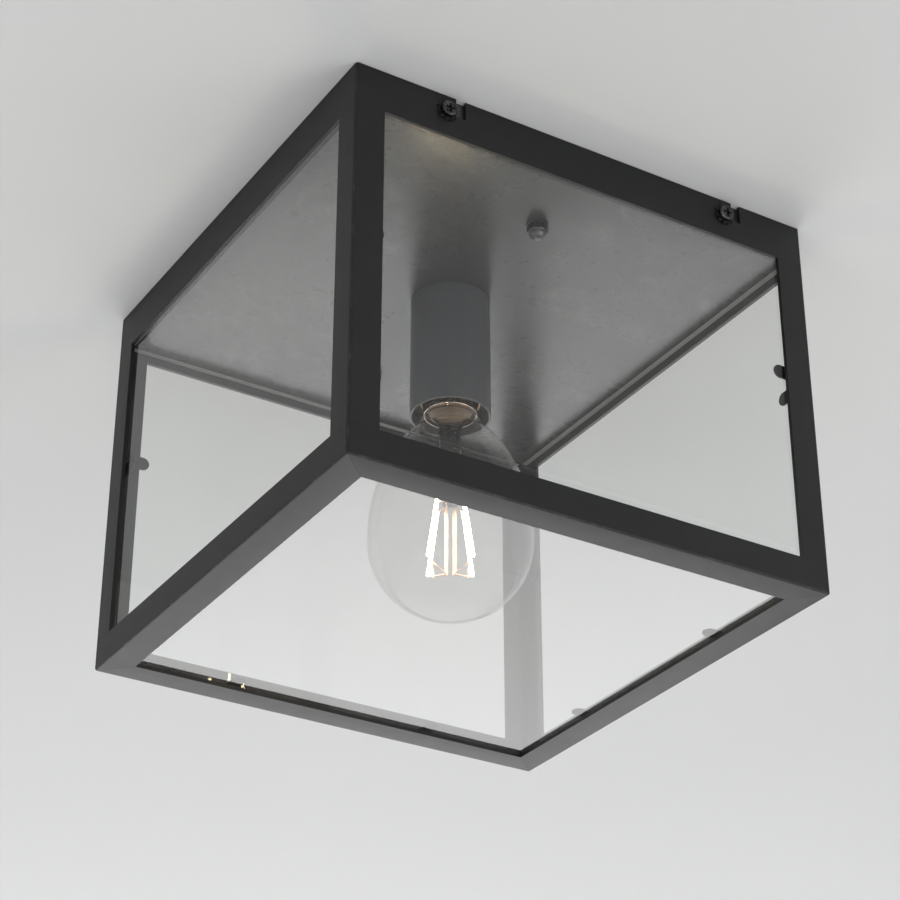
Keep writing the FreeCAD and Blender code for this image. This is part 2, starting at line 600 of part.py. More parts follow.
def lampholder_shell():
    """The metal shell that the lamp's cap screws into, with the strap to its screw."""
    x, y = HOLDER_SCREWS[1]
    wall_y = HOLDER_CAVITY_RADIUS - SHELL_WALL
    round_room = cylinder(HOLDER_CAVITY_RADIUS, SHELL_BOTTOM, CAVITY_TOP)
    tube = cylinder(HOLDER_CAVITY_RADIUS, SHELL_BOTTOM, SHELL_TOP)
    tube = tube.cut(cylinder(wall_y, SHELL_BOTTOM, SHELL_TOP))
    left = x - STRAP_WIDTH / 2.0
    right = x + STRAP_WIDTH / 2.0
    leg = block(left, right, 0.0, HOLDER_RADIUS, SHELL_TOP - SHELL_BELOW_SCREWS, CAVITY_TOP)
    leg = leg.common(round_room).cut(cylinder(wall_y, SHELL_BOTTOM, CAVITY_TOP))
    strap = block(left, right, y - STRAP_WIDTH / 2.0, HOLDER_RADIUS, STRAP_BOTTOM, CAVITY_TOP)
    strap = strap.common(round_room)
    return joined([tube, leg, strap]).cut(cylinder(HOLDER_SCREW_RADIUS, STRAP_BOTTOM, CAVITY_TOP, x, y))


def centre_contact():
    """The springy leaf from the other screw, bent down to meet the lamp's tip."""
    x, y = HOLDER_SCREWS[0]
    left = x - STRAP_WIDTH / 2.0
    width = STRAP_WIDTH + LEAD_SPREAD
    upper = [(y - STRAP_WIDTH / 2.0, CAVITY_TOP), (-LEAF_BEND_START, CAVITY_TOP),
             (-LEAF_BEND_END, CAVITY_TOP - LEAF_DROP), (LEAF_PAST_CENTRE, CAVITY_TOP - LEAF_DROP)]
    lower = [(place, level - STRAP_THICKNESS) for place, level in upper[::-1]]
    points = [Vec(left, place, level) for place, level in upper + lower + upper[:1]]
    leaf = Part.Face(Part.makePolygon(points)).extrude(Vec(width, 0, 0))
    return leaf.cut(cylinder(HOLDER_SCREW_RADIUS, STRAP_BOTTOM, CAVITY_TOP, x, y))


# ---------------------------------------------------------------- lamp
def glass_outline(inset):
    """Edges from the globe's lowest point up to the collar, moved in from the outside by inset."""
    reach = BLEND_LEVEL - GLOBE_CENTRE
    share = (GLOBE_RADIUS - inset) / BLEND_REACH
    join = (BLEND_SIDE * share, GLOBE_CENTRE + reach * share)
    to_globe = (-BLEND_SIDE / BLEND_REACH, -reach / BLEND_REACH)
    half_way = (to_globe[0] - 1.0, to_globe[1])
    scale = (NECK_BLEND_RADIUS + inset) / math.hypot(*half_way)
    hollow = (BLEND_SIDE + half_way[0] * scale, BLEND_LEVEL + half_way[1] * scale)
    neck = NECK_RADIUS - inset
    collar = COLLAR_RADIUS - inset
    round_off = math.sqrt(0.5)
    shoulder = (collar + (neck - collar) * round_off, NECK_TOP + SHOULDER_HEIGHT * round_off)
    low = (0.0, GLOBE_CENTRE - GLOBE_RADIUS + inset)
    top = (collar, GLASS_TOP)
    edges = [arc(low, (GLOBE_RADIUS - inset, GLOBE_CENTRE), join)]
    edges.append(arc(join, hollow, (neck, BLEND_LEVEL)))
    edges.append(line((neck, BLEND_LEVEL), (neck, NECK_TOP)))
    edges.append(arc((neck, NECK_TOP), shoulder, (collar, SHOULDER_TOP)))
    edges.append(line((collar, SHOULDER_TOP), top))
    return low, top, edges


def lamp_globe():
    """The blown glass: globe, neck and the collar inside the cap."""
    low_out, top_out, outside = glass_outline(0.0)
    low_in, top_in, inside = glass_outline(GLASS_WALL)
    return turned(outside + [line(top_out, top_in)] + inside[::-1] + [line(low_in, low_out)])


def lamp_cap():
    """The metal cap: a plain skirt, rolled thread rings and a narrow lip."""
    inner = CAP_ROOT_RADIUS - CAP_WALL
    skirt_inner = CAP_RADIUS - CAP_WALL
    edges = [line((skirt_inner, CAP_BOTTOM), (CAP_RADIUS, CAP_BOTTOM)),
             line((CAP_RADIUS, CAP_BOTTOM), (CAP_RADIUS, THREAD_BOTTOM)),
             line((CAP_RADIUS, THREAD_BOTTOM), (CAP_ROOT_RADIUS, THREAD_BOTTOM))]
    for turn in range(CAP_THREAD_TURNS):
        low = THREAD_BOTTOM + turn * CAP_THREAD_PITCH
        high = low + CAP_THREAD_PITCH
        edges.append(arc((CAP_ROOT_RADIUS, low), (CAP_RADIUS, (low + high) / 2.0), (CAP_ROOT_RADIUS, high)))
    thread_top = CAP_TOP - CAP_TOP_LIP
    edges += [line((CAP_ROOT_RADIUS, thread_top), (CAP_ROOT_RADIUS, CAP_TOP)),
              line((CAP_ROOT_RADIUS, CAP_TOP), (inner, CAP_TOP)),
              line((inner, CAP_TOP), (inner, THREAD_BOTTOM - CAP_WALL)),
              line((inner, THREAD_BOTTOM - CAP_WALL), (skirt_inner, THREAD_BOTTOM - CAP_WALL)),
              line((skirt_inner, THREAD_BOTTOM - CAP_WALL), (skirt_inner, CAP_BOTTOM))]
    return turned(edges)


def cap_insulator():
    """The insulating button in the top of the cap."""
    plug = cylinder(CAP_ROOT_RADIUS - CAP_WALL, CAP_TOP - INSULATOR_IN_CAP, CAP_TOP)
    cone = Part.makeCone(INSULATOR_LOW_RADIUS, INSULATOR_TOP_RADIUS, INSULATOR_HEIGHT, Vec(0, 0, CAP_TOP))
    return joined([plug, cone])


def contact_tip():
    """The solder tip that meets the centre contact."""
    return cylinder(TIP_RADIUS, INSULATOR_TOP, LAMP_TOP)


def glass_stem():
    """The glass stem: a flare at the collar and a straight tube down into the globe."""
    flare_low = STEM_TOP - STEM_FLARE_HEIGHT
    flare = Part.makeCone(STEM_RADIUS, STEM_FLARE_RADIUS, STEM_FLARE_HEIGHT, Vec(0, 0, flare_low))
    return joined([flare, cylinder(STEM_RADIUS, STEM_END, flare_low)])


def around(radius, degrees, level):
    """A point at a distance from the axis, turned from +X."""
    angle = math.radians(degrees)
    return Vec(radius * math.cos(angle), radius * math.sin(angle), level)


def filament_angles():
    """Directions of the filaments round the axis."""
    return [FILAMENT_START + FULL_TURN * step / FILAMENT_COUNT for step in range(FILAMENT_COUNT)]


def pillar_angle(filament):
    """Each pillar stands between two filaments and serves both."""
    first = FILAMENT_START - HALF_TURN / FILAMENT_COUNT
    return first if filament in (0, FILAMENT_COUNT - 1) else first + HALF_TURN


def lamp_pillars():
    """Two fine pillars from the stem down towards the filaments' lower ends."""
    pillars = []
    for filament in (0, 1):
        foot = around(PILLAR_SPACING / 2.0, pillar_angle(filament), PILLAR_END)
        pillars.append(cylinder(PILLAR_RADIUS, PILLAR_END, STEM_END, foot.x, foot.y))
    return pillars


def lamp_filaments():
    """Four straight filament sticks that spread a little downwards."""
    return [rod(FILAMENT_RADIUS, around(FILAMENT_LOW_RADIUS, a, FILAMENT_BOTTOM),
                around(FILAMENT_TOP_RADIUS, a, FILAMENT_TOP)) for a in filament_angles()]


def filament_wires():
    """Fine wires from each filament's upper end to the stem and from its lower end to a pillar."""
    wires = []
    solids = lamp_filaments() + lamp_pillars() + [glass_stem()]
    for index, angle in enumerate(filament_angles()):
        top = around(FILAMENT_TOP_RADIUS, angle, FILAMENT_TOP)
        stem = around(STEM_RADIUS - WIRE_RADIUS, angle, STEM_END + WIRE_RISE)
        low = around(FILAMENT_LOW_RADIUS, angle, FILAMENT_BOTTOM)
        pillar = around(PILLAR_SPACING / 2.0, pillar_angle(index), PILLAR_END + WIRE_RISE)
        wires.append(rod(WIRE_RADIUS, stem, top).cut(solids))
        wires.append(rod(WIRE_RADIUS, pillar, low).cut(solids))
    return wires


# ---------------------------------------------------------------- wiring above the tray
def terminal_block():
    """A three-way terminal block under the bracket."""
    y_middle = -BLOCK_OFFSET
    half_width = BLOCK_WIDTH / 2.0
    body = block(-BLOCK_LENGTH / 2.0, BLOCK_LENGTH / 2.0, y_middle - half_width, y_middle + half_width,
                 BLOCK_BOTTOM, BLOCK_TOP)
    cuts = [cylinder(BLOCK_FIXING_RADIUS, BLOCK_BOTTOM, BLOCK_TOP, -BLOCK_PITCH / 2.0, y_middle)]
    for way in BLOCK_WAYS:
        cuts.append(rod(BLOCK_WIRE_BORE, Vec(way, y_middle - half_width, BLOCK_WIRE_LEVEL),
                        Vec(way, y_middle + half_width, BLOCK_WIRE_LEVEL)))
        for place in (y_middle - BLOCK_WIDTH / 4.0, y_middle + BLOCK_WIDTH / 4.0):
            cuts.append(cylinder(BLOCK_SCREW_RADIUS, BLOCK_BOTTOM, BLOCK_WIRE_LEVEL, way, place))
    return body.cut(cuts)


def terminal_screws():
    """The six small screws that pinch the wires in the block."""
    screws = []
    for way in BLOCK_WAYS:
        for place in (-BLOCK_OFFSET - BLOCK_WIDTH / 4.0, -BLOCK_OFFSET + BLOCK_WIDTH / 4.0):
            top = BLOCK_WIRE_LEVEL - LEAD_RADIUS
            screws.append(cylinder(BLOCK_SCREW_RADIUS, BLOCK_BOTTOM, top, way, place))
    return screws


def block_screw():
    """The screw that holds the block up to the bracket."""
    x = -BLOCK_PITCH / 2.0
    shank = cylinder(BLOCK_FIXING_RADIUS, BLOCK_BOTTOM, 0.0, x, -BLOCK_OFFSET)
    head = cylinder(BLOCK_FIXING_HEAD_RADIUS, BLOCK_BOTTOM - BLOCK_FIXING_HEAD_HEIGHT, BLOCK_BOTTOM, x,
                    -BLOCK_OFFSET)
    return joined([shank, head])


def bend(start, direction_in, direction_out):
    """The end point and middle point of a quarter bend between two square directions."""
    end = start + direction_in * LEAD_BEND + direction_out * LEAD_BEND
    half = math.sqrt(0.5)
    middle = start + direction_in * (LEAD_BEND * half) + direction_out * (LEAD_BEND * (1.0 - half))
    return middle, end


def holder_lead(way, spread, outward):
    """A lead from the block across to the nipple, down through it and out to its screw."""
    mouth = Vec(way, -BLOCK_OFFSET + BLOCK_WIDTH / 2.0 - LEAD_IN_BLOCK, BLOCK_WIRE_LEVEL)
    outlet = Vec(way, -BLOCK_OFFSET + BLOCK_WIDTH / 2.0 + LEAD_BEND, BLOCK_WIRE_LEVEL)
    above = Vec(spread, 0.0, BLOCK_WIRE_LEVEL)
    down = Vec(0, 0, -1)
    turn_start = above - Vec(0, LEAD_BEND, 0)
    sway = Part.BSplineCurve()
    sway.interpolate([outlet, turn_start], InitialTangent=Vec(0, 1, 0), FinalTangent=Vec(0, 1, 0))
    middle, drop_start = bend(turn_start, Vec(0, 1, 0), down)
    out_start = Vec(spread, 0.0, LEAD_LEVEL + LEAD_BEND)
    out_middle, run_start = bend(out_start, down, Vec(0, outward, 0))
    run_end = Vec(spread, outward * CHAMBER_HALF_LENGTH - outward * LEAD_RADIUS, LEAD_LEVEL)
    edges = [Part.LineSegment(mouth, outlet).toShape(), sway.toShape(),
             Part.Arc(turn_start, middle, drop_start).toShape(),
             Part.LineSegment(drop_start, out_start).toShape(),
             Part.Arc(out_start, out_middle, run_start).toShape(),
             Part.LineSegment(run_start, run_end).toShape()]
    return swept(LEAD_RADIUS, edges, mouth, Vec(0, 1, 0))


def earth_lead():
    """A lead from the block's last way down to the ring on the tray's earth stud."""
    way = BLOCK_WAYS[2]
    mouth = Vec(way, -BLOCK_OFFSET + BLOCK_WIDTH / 2.0 - LEAD_IN_BLOCK, BLOCK_WIRE_LEVEL)
    outlet = Vec(way, -BLOCK_OFFSET + BLOCK_WIDTH / 2.0 + LEAD_RADIUS, BLOCK_WIRE_LEVEL)
    ring_side = Vec(EARTH_X - EARTH_RING_RADIUS, EARTH_Y, EARTH_LEVEL)
    curve = Part.BSplineCurve()
    curve.interpolate([outlet, ring_side], InitialTangent=Vec(0, 1, 0), FinalTangent=Vec(1, 0, 0))
    edges = [Part.LineSegment(mouth, outlet).toShape(), curve.toShape()]
    return swept(LEAD_RADIUS, edges, mouth, Vec(0, 1, 0))


def earth_stud():
    """A short threaded stud clinched in the tray's floor."""
    return cylinder(EARTH_STUD_RADIUS, TRAY_FLOOR, TRAY_FLOOR + EARTH_STUD_HEIGHT, EARTH_X, EARTH_Y)


def earth_ring():
    """The ring terminal under the earth nut."""
    high = TRAY_FLOOR + EARTH_RING_THICKNESS
    return cylinder(EARTH_RING_RADIUS, TRAY_FLOOR, high, EARTH_X, EARTH_Y).cut(earth_stud())


def earth_nut():
    """The nut on the earth stud."""
    low = TRAY_FLOOR + EARTH_RING_THICKNESS
    return hexagon(EARTH_NUT_FLATS, low, low + EARTH_NUT_HEIGHT, EARTH_X, EARTH_Y).cut(earth_stud())


# ---------------------------------------------------------------- write every node
for name in ("front", "right", "rear", "left"):
    save("top_band_" + name, top_band(name))
    save("bottom_rail_" + name, bottom_rail(name))
    save("glass_" + name, side_pane(name))

CORNERS = {"front_left": (-1, -1), "front_right": (1, -1), "rear_left": (-1, 1), "rear_right": (1, 1)}
for corner, signs in CORNERS.items():
    save("corner_post_" + corner, corner_post(*signs))
    save("fixing_screw_" + corner, fixing_screw(signs[0] * SCREW_SPACING / 2.0, signs[1]))
    save("key_washer_" + corner, key_washer(signs[0] * SCREW_SPACING / 2.0, signs[1]))

save("glass_bottom", bottom_pane())
save("post_tabs", post_tabs())
save("rail_tabs", rail_tabs())
save("base_tray", base_tray())
save("threaded_inserts", threaded_inserts())
save("ceiling_bracket", ceiling_bracket())
save("bracket_studs", [bracket_stud(place) for place in STUD_PLACES])
save("stud_washers", [stud_washer(place) for place in STUD_PLACES])
save("cap_nuts", [cap_nut(place) for place in STUD_PLACES])
save("lampholder_sleeve", lampholder_sleeve())
save("holder_nipple", nipple())
save("nipple_nut", nipple_nut())
save("lampholder_body", lampholder_body())
save("holder_screws", holder_screws())
save("lampholder_shell", lampholder_shell())
save("centre_contact", centre_contact())
save("lamp_globe", lamp_globe())
save("lamp_cap", lamp_cap())
save("cap_insulator", cap_insulator())
save("contact_tip", contact_tip())
save("glass_stem", glass_stem())
save("lamp_pillars", lamp_pillars())
save("lamp_filaments", lamp_filaments())
save("filament_wires", filament_wires())
save("terminal_block", terminal_block())
save("terminal_screws", terminal_screws())
save("block_screw", block_screw())
save("lead_live", holder_lead(BLOCK_WAYS[0], -LEAD_SPREAD, -1.0))
save("lead_neutral", holder_lead(BLOCK_WAYS[1], LEAD_SPREAD, 1.0))
save("earth_lead", earth_lead())
save("earth_stud", earth_stud())
save("earth_ring", earth_ring())
save("earth_nut", earth_nut())
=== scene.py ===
"""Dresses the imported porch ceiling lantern: eased steel, clear panes, a lit lamp and a pale ceiling.

Metres, +Z up, with the ceiling at z = 0.  Every finished piece keeps its place in its mesh.
"""
import math

import bmesh
import bpy
import numpy as np
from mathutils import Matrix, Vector


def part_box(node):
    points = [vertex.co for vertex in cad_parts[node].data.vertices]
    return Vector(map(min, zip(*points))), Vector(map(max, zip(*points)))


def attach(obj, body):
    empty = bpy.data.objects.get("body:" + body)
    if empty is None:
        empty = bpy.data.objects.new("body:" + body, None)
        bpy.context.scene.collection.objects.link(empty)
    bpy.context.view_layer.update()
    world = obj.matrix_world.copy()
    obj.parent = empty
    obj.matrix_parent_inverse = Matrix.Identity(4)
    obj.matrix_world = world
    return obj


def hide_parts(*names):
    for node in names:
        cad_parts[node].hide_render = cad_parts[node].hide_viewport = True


bl_info = {
    "name": "Porch Ceiling Lantern",
    "version": (1, 0, 0),
    "blender": (4, 5, 0),
    "location": "View3D > Sidebar > Lantern",
    "description": "Builds the finished pieces of a box-shaped porch ceiling lantern",
    "category": "Add Mesh",
}

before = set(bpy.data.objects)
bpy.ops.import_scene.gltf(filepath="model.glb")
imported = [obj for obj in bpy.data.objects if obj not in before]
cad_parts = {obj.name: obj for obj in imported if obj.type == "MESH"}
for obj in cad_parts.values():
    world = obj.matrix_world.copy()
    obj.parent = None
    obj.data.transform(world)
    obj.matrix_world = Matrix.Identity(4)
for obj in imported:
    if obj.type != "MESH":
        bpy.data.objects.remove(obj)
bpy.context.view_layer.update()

MM = 0.001
HALF_WIDTH = 125.0 * MM  # from the lantern's axis to the cage's outer faces
HEIGHT = 200.0 * MM  # from the ceiling to the cage's lower face
TRAY_RUB = 20.0 * MM  # the tray's rubbed patches begin this far from its middle planes
HOLE_HALF = 122.3 * MM  # the ceiling sheet stops just inside the tray's rim
SCREW_POLE = 1e-6  # radius at the middle of a screw's turned outline
SAME_POINT = 1e-7  # points closer than this are one; also the radius of a turned shape's pole
EASED_ABOVE = 35.0  # degrees between two faces, above which a CAD copy's edge is eased
EYE_TURN = 31.0  # degrees from +Y to the main view's direction, which the stem's flat side follows
PLAIN_WHITE = (0.93, 0.93, 0.93)  # what the camera, metal and glass see beyond the ceiling
SIDES = ("front", "right", "rear", "left")
CORNERS = ("front_left", "front_right", "rear_left", "rear_right")


# ---------------------------------------------------------------- surfaces
def ring_faces(rows, columns, wrap_rows):
    """Quads of a grid whose columns close on themselves, and whose rows do too if asked."""
    last = rows if wrap_rows else rows - 1
    row, column = np.meshgrid(np.arange(last), np.arange(columns), indexing="ij")
    next_row = (row + 1) % rows
    next_column = (column + 1) % columns
    quads = np.stack([row * columns + column, row * columns + next_column,
                      next_row * columns + next_column, next_row * columns + column], axis=-1)
    return quads.reshape(-1, 4)


def closed_shell(points, wrap_rows=False):
    """Vertices, quads and end polygons of a tube-like grid (rows, columns, 3)."""
    rows, columns = points.shape[:2]
    around_once = np.arange(columns)
    ends = [] if wrap_rows else [around_once[::-1], around_once + (rows - 1) * columns]
    return points.reshape(-1, 3), ring_faces(rows, columns, wrap_rows), ends


def put_mesh(name, parts, smooth=True):
    """One object out of several closed shells, with doubles at the poles merged."""
    faces, count = [], 0
    for vertices, quads, ends in parts:
        faces += (quads + count).tolist() + [(end + count).tolist() for end in ends]
        count += len(vertices)
    mesh = bpy.data.meshes.new(name)
    mesh.from_pydata(np.concatenate([vertices for vertices, _, _ in parts]).tolist(), [], faces)
    shape = bmesh.new()
    shape.from_mesh(mesh)
    bmesh.ops.remove_doubles(shape, verts=shape.verts, dist=SAME_POINT)
    bmesh.ops.recalc_face_normals(shape, faces=shape.faces)
    shape.to_mesh(mesh)
    shape.free()
    mesh.polygons.foreach_set("use_smooth", np.full(len(mesh.polygons), smooth))
    obj = bpy.data.objects.new(name, mesh)
    bpy.context.scene.collection.objects.link(obj)
    return obj


def sharp_edges(obj, degrees):
    """Marks edges sharper than an angle, so that smooth faces meet there with a crisp line."""
    shape = bmesh.new()
    shape.from_mesh(obj.data)
    limit = math.radians(degrees)
    for edge in shape.edges:
        edge.smooth = len(edge.link_faces) == 2 and edge.calc_face_angle() < limit
    shape.to_mesh(obj.data)
    shape.free()


def lathe(profile, columns=96):
    """Grid of a turned shape: each profile point (radius, level) goes once round the axis."""
    angle = np.arange(columns) * math.tau / columns
    radius = profile[:, 0][:, None]
    level = np.repeat(profile[:, 1][:, None], columns, axis=1)
    return np.stack([radius * np.cos(angle), radius * np.sin(angle), level], axis=-1)


def tube(path, radius, sides=16):
    """Grid of a round cord: a circle carried along a path in the plane square to its direction."""
    along = np.gradient(path, axis=0)
    along /= np.linalg.norm(along, axis=1)[:, None]
    guide = np.where(np.abs(along[:, 2:3]) > 0.9, [[1.0, 0.0, 0.0]], [[0.0, 0.0, 1.0]])
    across = np.cross(along, guide)
    across /= np.linalg.norm(across, axis=1)[:, None]
    up = np.cross(across, along)
    angle = (np.arange(sides) * math.tau / sides)[None, :, None]
    circle = across[:, None, :] * np.cos(angle) + up[:, None, :] * np.sin(angle)
    return path[:, None, :] + circle * radius


def capsule(start, end, radius, sides=20, steps=10):
    """Grid of a straight stick with half-round ends: the radius follows a circle near each end."""
    length = np.linalg.norm(end - start)
    swing = np.linspace(0.0, math.pi / 2.0, steps)
    low = radius * (1.0 - np.cos(swing))
    place = np.concatenate([low, length - low[::-1]])
    width = np.concatenate([np.sin(swing), np.sin(swing)[::-1]]) * radius
    path = start + (end - start) * (place / length)[:, None]
    along = (end - start) / length
    guide = np.array([1.0, 0.0, 0.0]) if abs(along[2]) > 0.9 else np.array([0.0, 0.0, 1.0])
    across = np.cross(along, guide)
    across /= np.linalg.norm(across)
    up = np.cross(across, along)
    angle = np.arange(sides) * math.tau / sides
    circle = across * np.cos(angle)[:, None] + up * np.sin(angle)[:, None]
    return path[:, None, :] + circle[None, :, :] * width[:, None, None]


def arc_points(centre, radius, start, end, steps):
    """Points of a circular arc in the (radius, level) plane, angles in degrees."""
    angle = np.radians(np.linspace(start, end, steps))
    return np.stack([centre[0] + radius * np.cos(angle), centre[1] + radius * np.sin(angle)], axis=-1)


def eased_copy(node, width, segments=2):
    """A copy of a CAD node with its triangles merged and its edges eased, in place of the node."""
    mesh = bpy.data.meshes.new(node + "_eased")
    shape = bmesh.new()
    shape.from_mesh(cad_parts[node].data)
    bmesh.ops.remove_doubles(shape, verts=shape.verts, dist=1e-6)
    bmesh.ops.dissolve_limit(shape, angle_limit=math.radians(1.0), verts=shape.verts, edges=shape.edges)
    shape.to_mesh(mesh)
    shape.free()
    if "custom_normal" in mesh.attributes:
        mesh.attributes.remove(mesh.attributes["custom_normal"])
    mesh.materials.clear()
    mesh.polygons.foreach_set("use_smooth", np.full(len(mesh.polygons), True))
    obj = bpy.data.objects.new(mesh.name, mesh)
    bpy.context.scene.collection.objects.link(obj)
    bevel = obj.modifiers.new("eased edges", "BEVEL")
    bevel.width = width
    bevel.segments = segments
    bevel.limit_method = "ANGLE"
    bevel.angle_limit = math.radians(EASED_ABOVE)
    bevel.harden_normals = True
    sharp_edges(obj, EASED_ABOVE)
    return obj


def hand_over(obj, material, body, slot, *nodes):
    """Gives a piece its material and body, and hides the CAD nodes that it stands for; slot is not
    used.
    """
    obj.data.materials.clear()
    obj.data.materials.append(material)
    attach(obj, body)
    if nodes:
        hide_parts(*nodes)


def paint(node, material):
    """Gives a carried-over CAD node its material."""
    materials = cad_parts[node].data.materials
    materials.clear()
    materials.append(material)


# ---------------------------------------------------------------- materials
class Wire:
    """A node's output; the usual operators on it add the Math nodes that they stand for."""

    def __init__(self, finish, socket):
        self.finish = finish
        self.socket = socket

    def _join(self, operation, first, second):
        return self.finish.node("ShaderNodeMath", {"operation": operation}, {0: first, 1: second})

    def __add__(self, other):
        return self._join("ADD", self, other)

    def __radd__(self, other):
        return self._join("ADD", other, self)

    def __sub__(self, other):
        return self._join("SUBTRACT", self, other)

    def __rsub__(self, other):
        return self._join("SUBTRACT", other, self)

    def __mul__(self, other):
        return self._join("MULTIPLY", self, other)

    def __rmul__(self, other):
        return self._join("MULTIPLY", other, self)

    def largest(self, other):
        return self._join("MAXIMUM", self, other)

    def absolute(self):
        return self._join("ABSOLUTE", self, 0.0)

    def between(self, low, high):
        """0 below low, 1 above high, smooth in between."""
        return self.finish.node("ShaderNodeMapRange", {"interpolation_type": "SMOOTHSTEP"},
                                {"Value": self, "From Min": low, "From Max": high})


class Finish:
    """The node tree of a material, or of a world, and the nodes that make its look."""

    def __init__(self, name, library=None, output="ShaderNodeOutputMaterial"):
        self.owner = (bpy.data.materials if library is None else library).new(name)
        self.owner.use_nodes = True
        self.tree = self.owner.node_tree
        self.tree.nodes.clear()
        self.output = self.tree.nodes.new(output)

    def node(self, kind, settings=None, inputs=None, output=0):
        """Adds one node: its settings first, then values or links for its sockets."""
        made = self.tree.nodes.new(kind)
        for key, value in (settings or {}).items():
            setattr(made, key, value)
        for key, value in (inputs or {}).items():
            self.feed(made.inputs[key], value)
        return Wire(self, made.outputs[output])

    def feed(self, socket, value):
        """Links a wire to a socket, or writes a value in it."""
        if isinstance(value, Wire):
            self.tree.links.new(value.socket, socket)
        elif socket.type == "RGBA" and len(value) == 3:
            socket.default_value = (*value, 1.0)
        else:
            socket.default_value = value

    def place(self):
        """Object coordinates, as x, y and z."""
        spot = self.node("ShaderNodeTexCoord", output=3)
        split = self.node("ShaderNodeSeparateXYZ", inputs={0: spot}).socket.node
        return spot, [Wire(self, split.outputs[axis]) for axis in range(3)]

    def noise(self, spot, scale, detail=3.0, roughness=0.5):
        """Soft noise between 0 and 1."""
        return self.node("ShaderNodeTexNoise", inputs={
            "Vector": spot, "Scale": scale, "Detail": detail, "Roughness": roughness})

    def inside(self):
        """1 where a ray meets the surface from behind."""
        return self.node("ShaderNodeNewGeometry", output=6)

    def seen(self):
        """1 for rays from the camera, and for those that metal and glass send on."""
        rays = self.node("ShaderNodeLightPath").socket.node
        camera, glossy, through = (
            Wire(self, rays.outputs[f"Is {kind} Ray"]) for kind in ("Camera", "Glossy", "Transmission"))
        return camera.largest(glossy).largest(through)

    def blend(self, factor, first, second):
        """A colour between two colours."""
        sockets = {0: factor, 6: first, 7: second}
        return self.node("ShaderNodeMix", {"data_type": "RGBA"}, sockets, output=2)

    def mixed(self, factor, first, second):
        """A shader between two shaders."""
        return self.node("ShaderNodeMixShader", inputs={0: factor, 1: first, 2: second})

    def bump(self, height, distance, strength):
        """A normal bent by a height."""
        return self.node("ShaderNodeBump", inputs={
            "Height": height, "Distance": distance, "Strength": strength})

    def surface(self, **sockets):
        """The Principled shader, its sockets given by name with _ for a space."""
        inputs = {key.replace("_", " "): value for key, value in sockets.items()}
        return self.node("ShaderNodeBsdfPrincipled", inputs=inputs)

    def done(self, shader):
        """Sends a shader to the output and gives the material or world back."""
        self.tree.links.new(shader.socket, self.output.inputs["Surface"])
        return self.owner


def coated_steel(name, colour, roughness, worn, gloss, rub=HALF_WIDTH):
    """Powder-coated steel: mottled colour, orange-peel grain and rubbed patches.

    The patches lie along the edges of a box with the given half width and the lantern's height.
    """
    finish = Finish(name)
    spot, (x, y, z) = finish.place()
    cloud = finish.noise(spot, 14.0, 4.0)
    fine = finish.noise(spot, 1900.0, 2.0)
    patch = finish.noise(spot, 95.0, 5.0, 0.65)
    side_x = x.absolute().between(rub - 1.1 * MM, rub - 0.3 * MM)
    side_y = y.absolute().between(rub - 1.1 * MM, rub - 0.3 * MM)
    low = (0.0 - z).between(HEIGHT - 1.1 * MM, HEIGHT - 0.2 * MM)
    edge = side_x * side_y
    edge = edge.largest(side_x.largest(side_y) * low) * patch.between(0.46, 0.72)
    darker = tuple(0.72 * part for part in colour)
    base = finish.blend(cloud.between(0.3, 0.7), darker, colour)
    base = finish.blend(edge * 0.5, base, worn)
    rough = roughness + 0.1 * (patch - 0.5) - 0.08 * edge
    normal = finish.bump(fine * 0.7 + 0.3 * patch, 0.06 * MM, 0.5)
    return finish.done(finish.surface(Base_Color=base, Roughness=rough, Normal=normal, IOR=gloss))


def plated_metal(name, colour, dull, roughness):
    """Plated or rolled metal with faint scratches and cloudy tarnish."""
    finish = Finish(name)
    spot, _ = finish.place()
    cloud = finish.noise(spot, 160.0, 4.0)
    stretched = finish.node("ShaderNodeMapping", inputs={
        "Vector": spot, "Scale": (260.0, 260.0, 4200.0)})
    scratch = finish.noise(stretched, 1.0, 2.0)
    base = finish.blend(cloud.between(0.35, 0.75), colour, dull)
    rough = roughness + 0.16 * (scratch - 0.5) + 0.1 * (cloud - 0.5)
    normal = finish.bump(scratch, 0.02 * MM, 0.4)
    return finish.done(finish.surface(Base_Color=base, Roughness=rough, Metallic=1.0, Normal=normal))


def moulded_plastic(name, colour, roughness):
    """Moulded plastic or resin with a fine satin grain and slight unevenness of colour."""
    finish = Finish(name)
    spot, _ = finish.place()
    cloud = finish.noise(spot, 60.0, 3.0)
    fine = finish.noise(spot, 2600.0, 2.0)
    paler = tuple(min(1.0, 1.18 * part + 0.004) for part in colour)
    base = finish.blend(cloud.between(0.3, 0.7), colour, paler)
    rough = roughness + 0.12 * (cloud - 0.5)
    normal = finish.bump(fine, 0.03 * MM, 0.4)
    return finish.done(finish.surface(Base_Color=base, Roughness=rough, Normal=normal))


def striped_sheath(name, first, second):
    """Wire sheath in two colours that alternate along the lead."""
    finish = Finish(name)
    spot, _ = finish.place()
    band = finish.node("ShaderNodeTexWave", {"bands_direction": "DIAGONAL"},
                       {"Vector": spot, "Scale": 260.0}, output=1)
    base = finish.blend(band.between(0.45, 0.55), first, second)
    fine = finish.noise(spot, 1800.0)
    rough = 0.42 + 0.1 * fine
    normal = finish.bump(fine, 0.02 * MM, 0.4)
    return finish.done(finish.surface(Base_Color=base, Roughness=rough, Normal=normal))


def mirror_share(finish, mirror, **sockets):
    """Share of light that a sheet mirrors: by slant on its front faces, none on its back faces."""
    return finish.node("ShaderNodeFresnel", inputs={"IOR": mirror, **sockets}) * (1.0 - finish.inside())


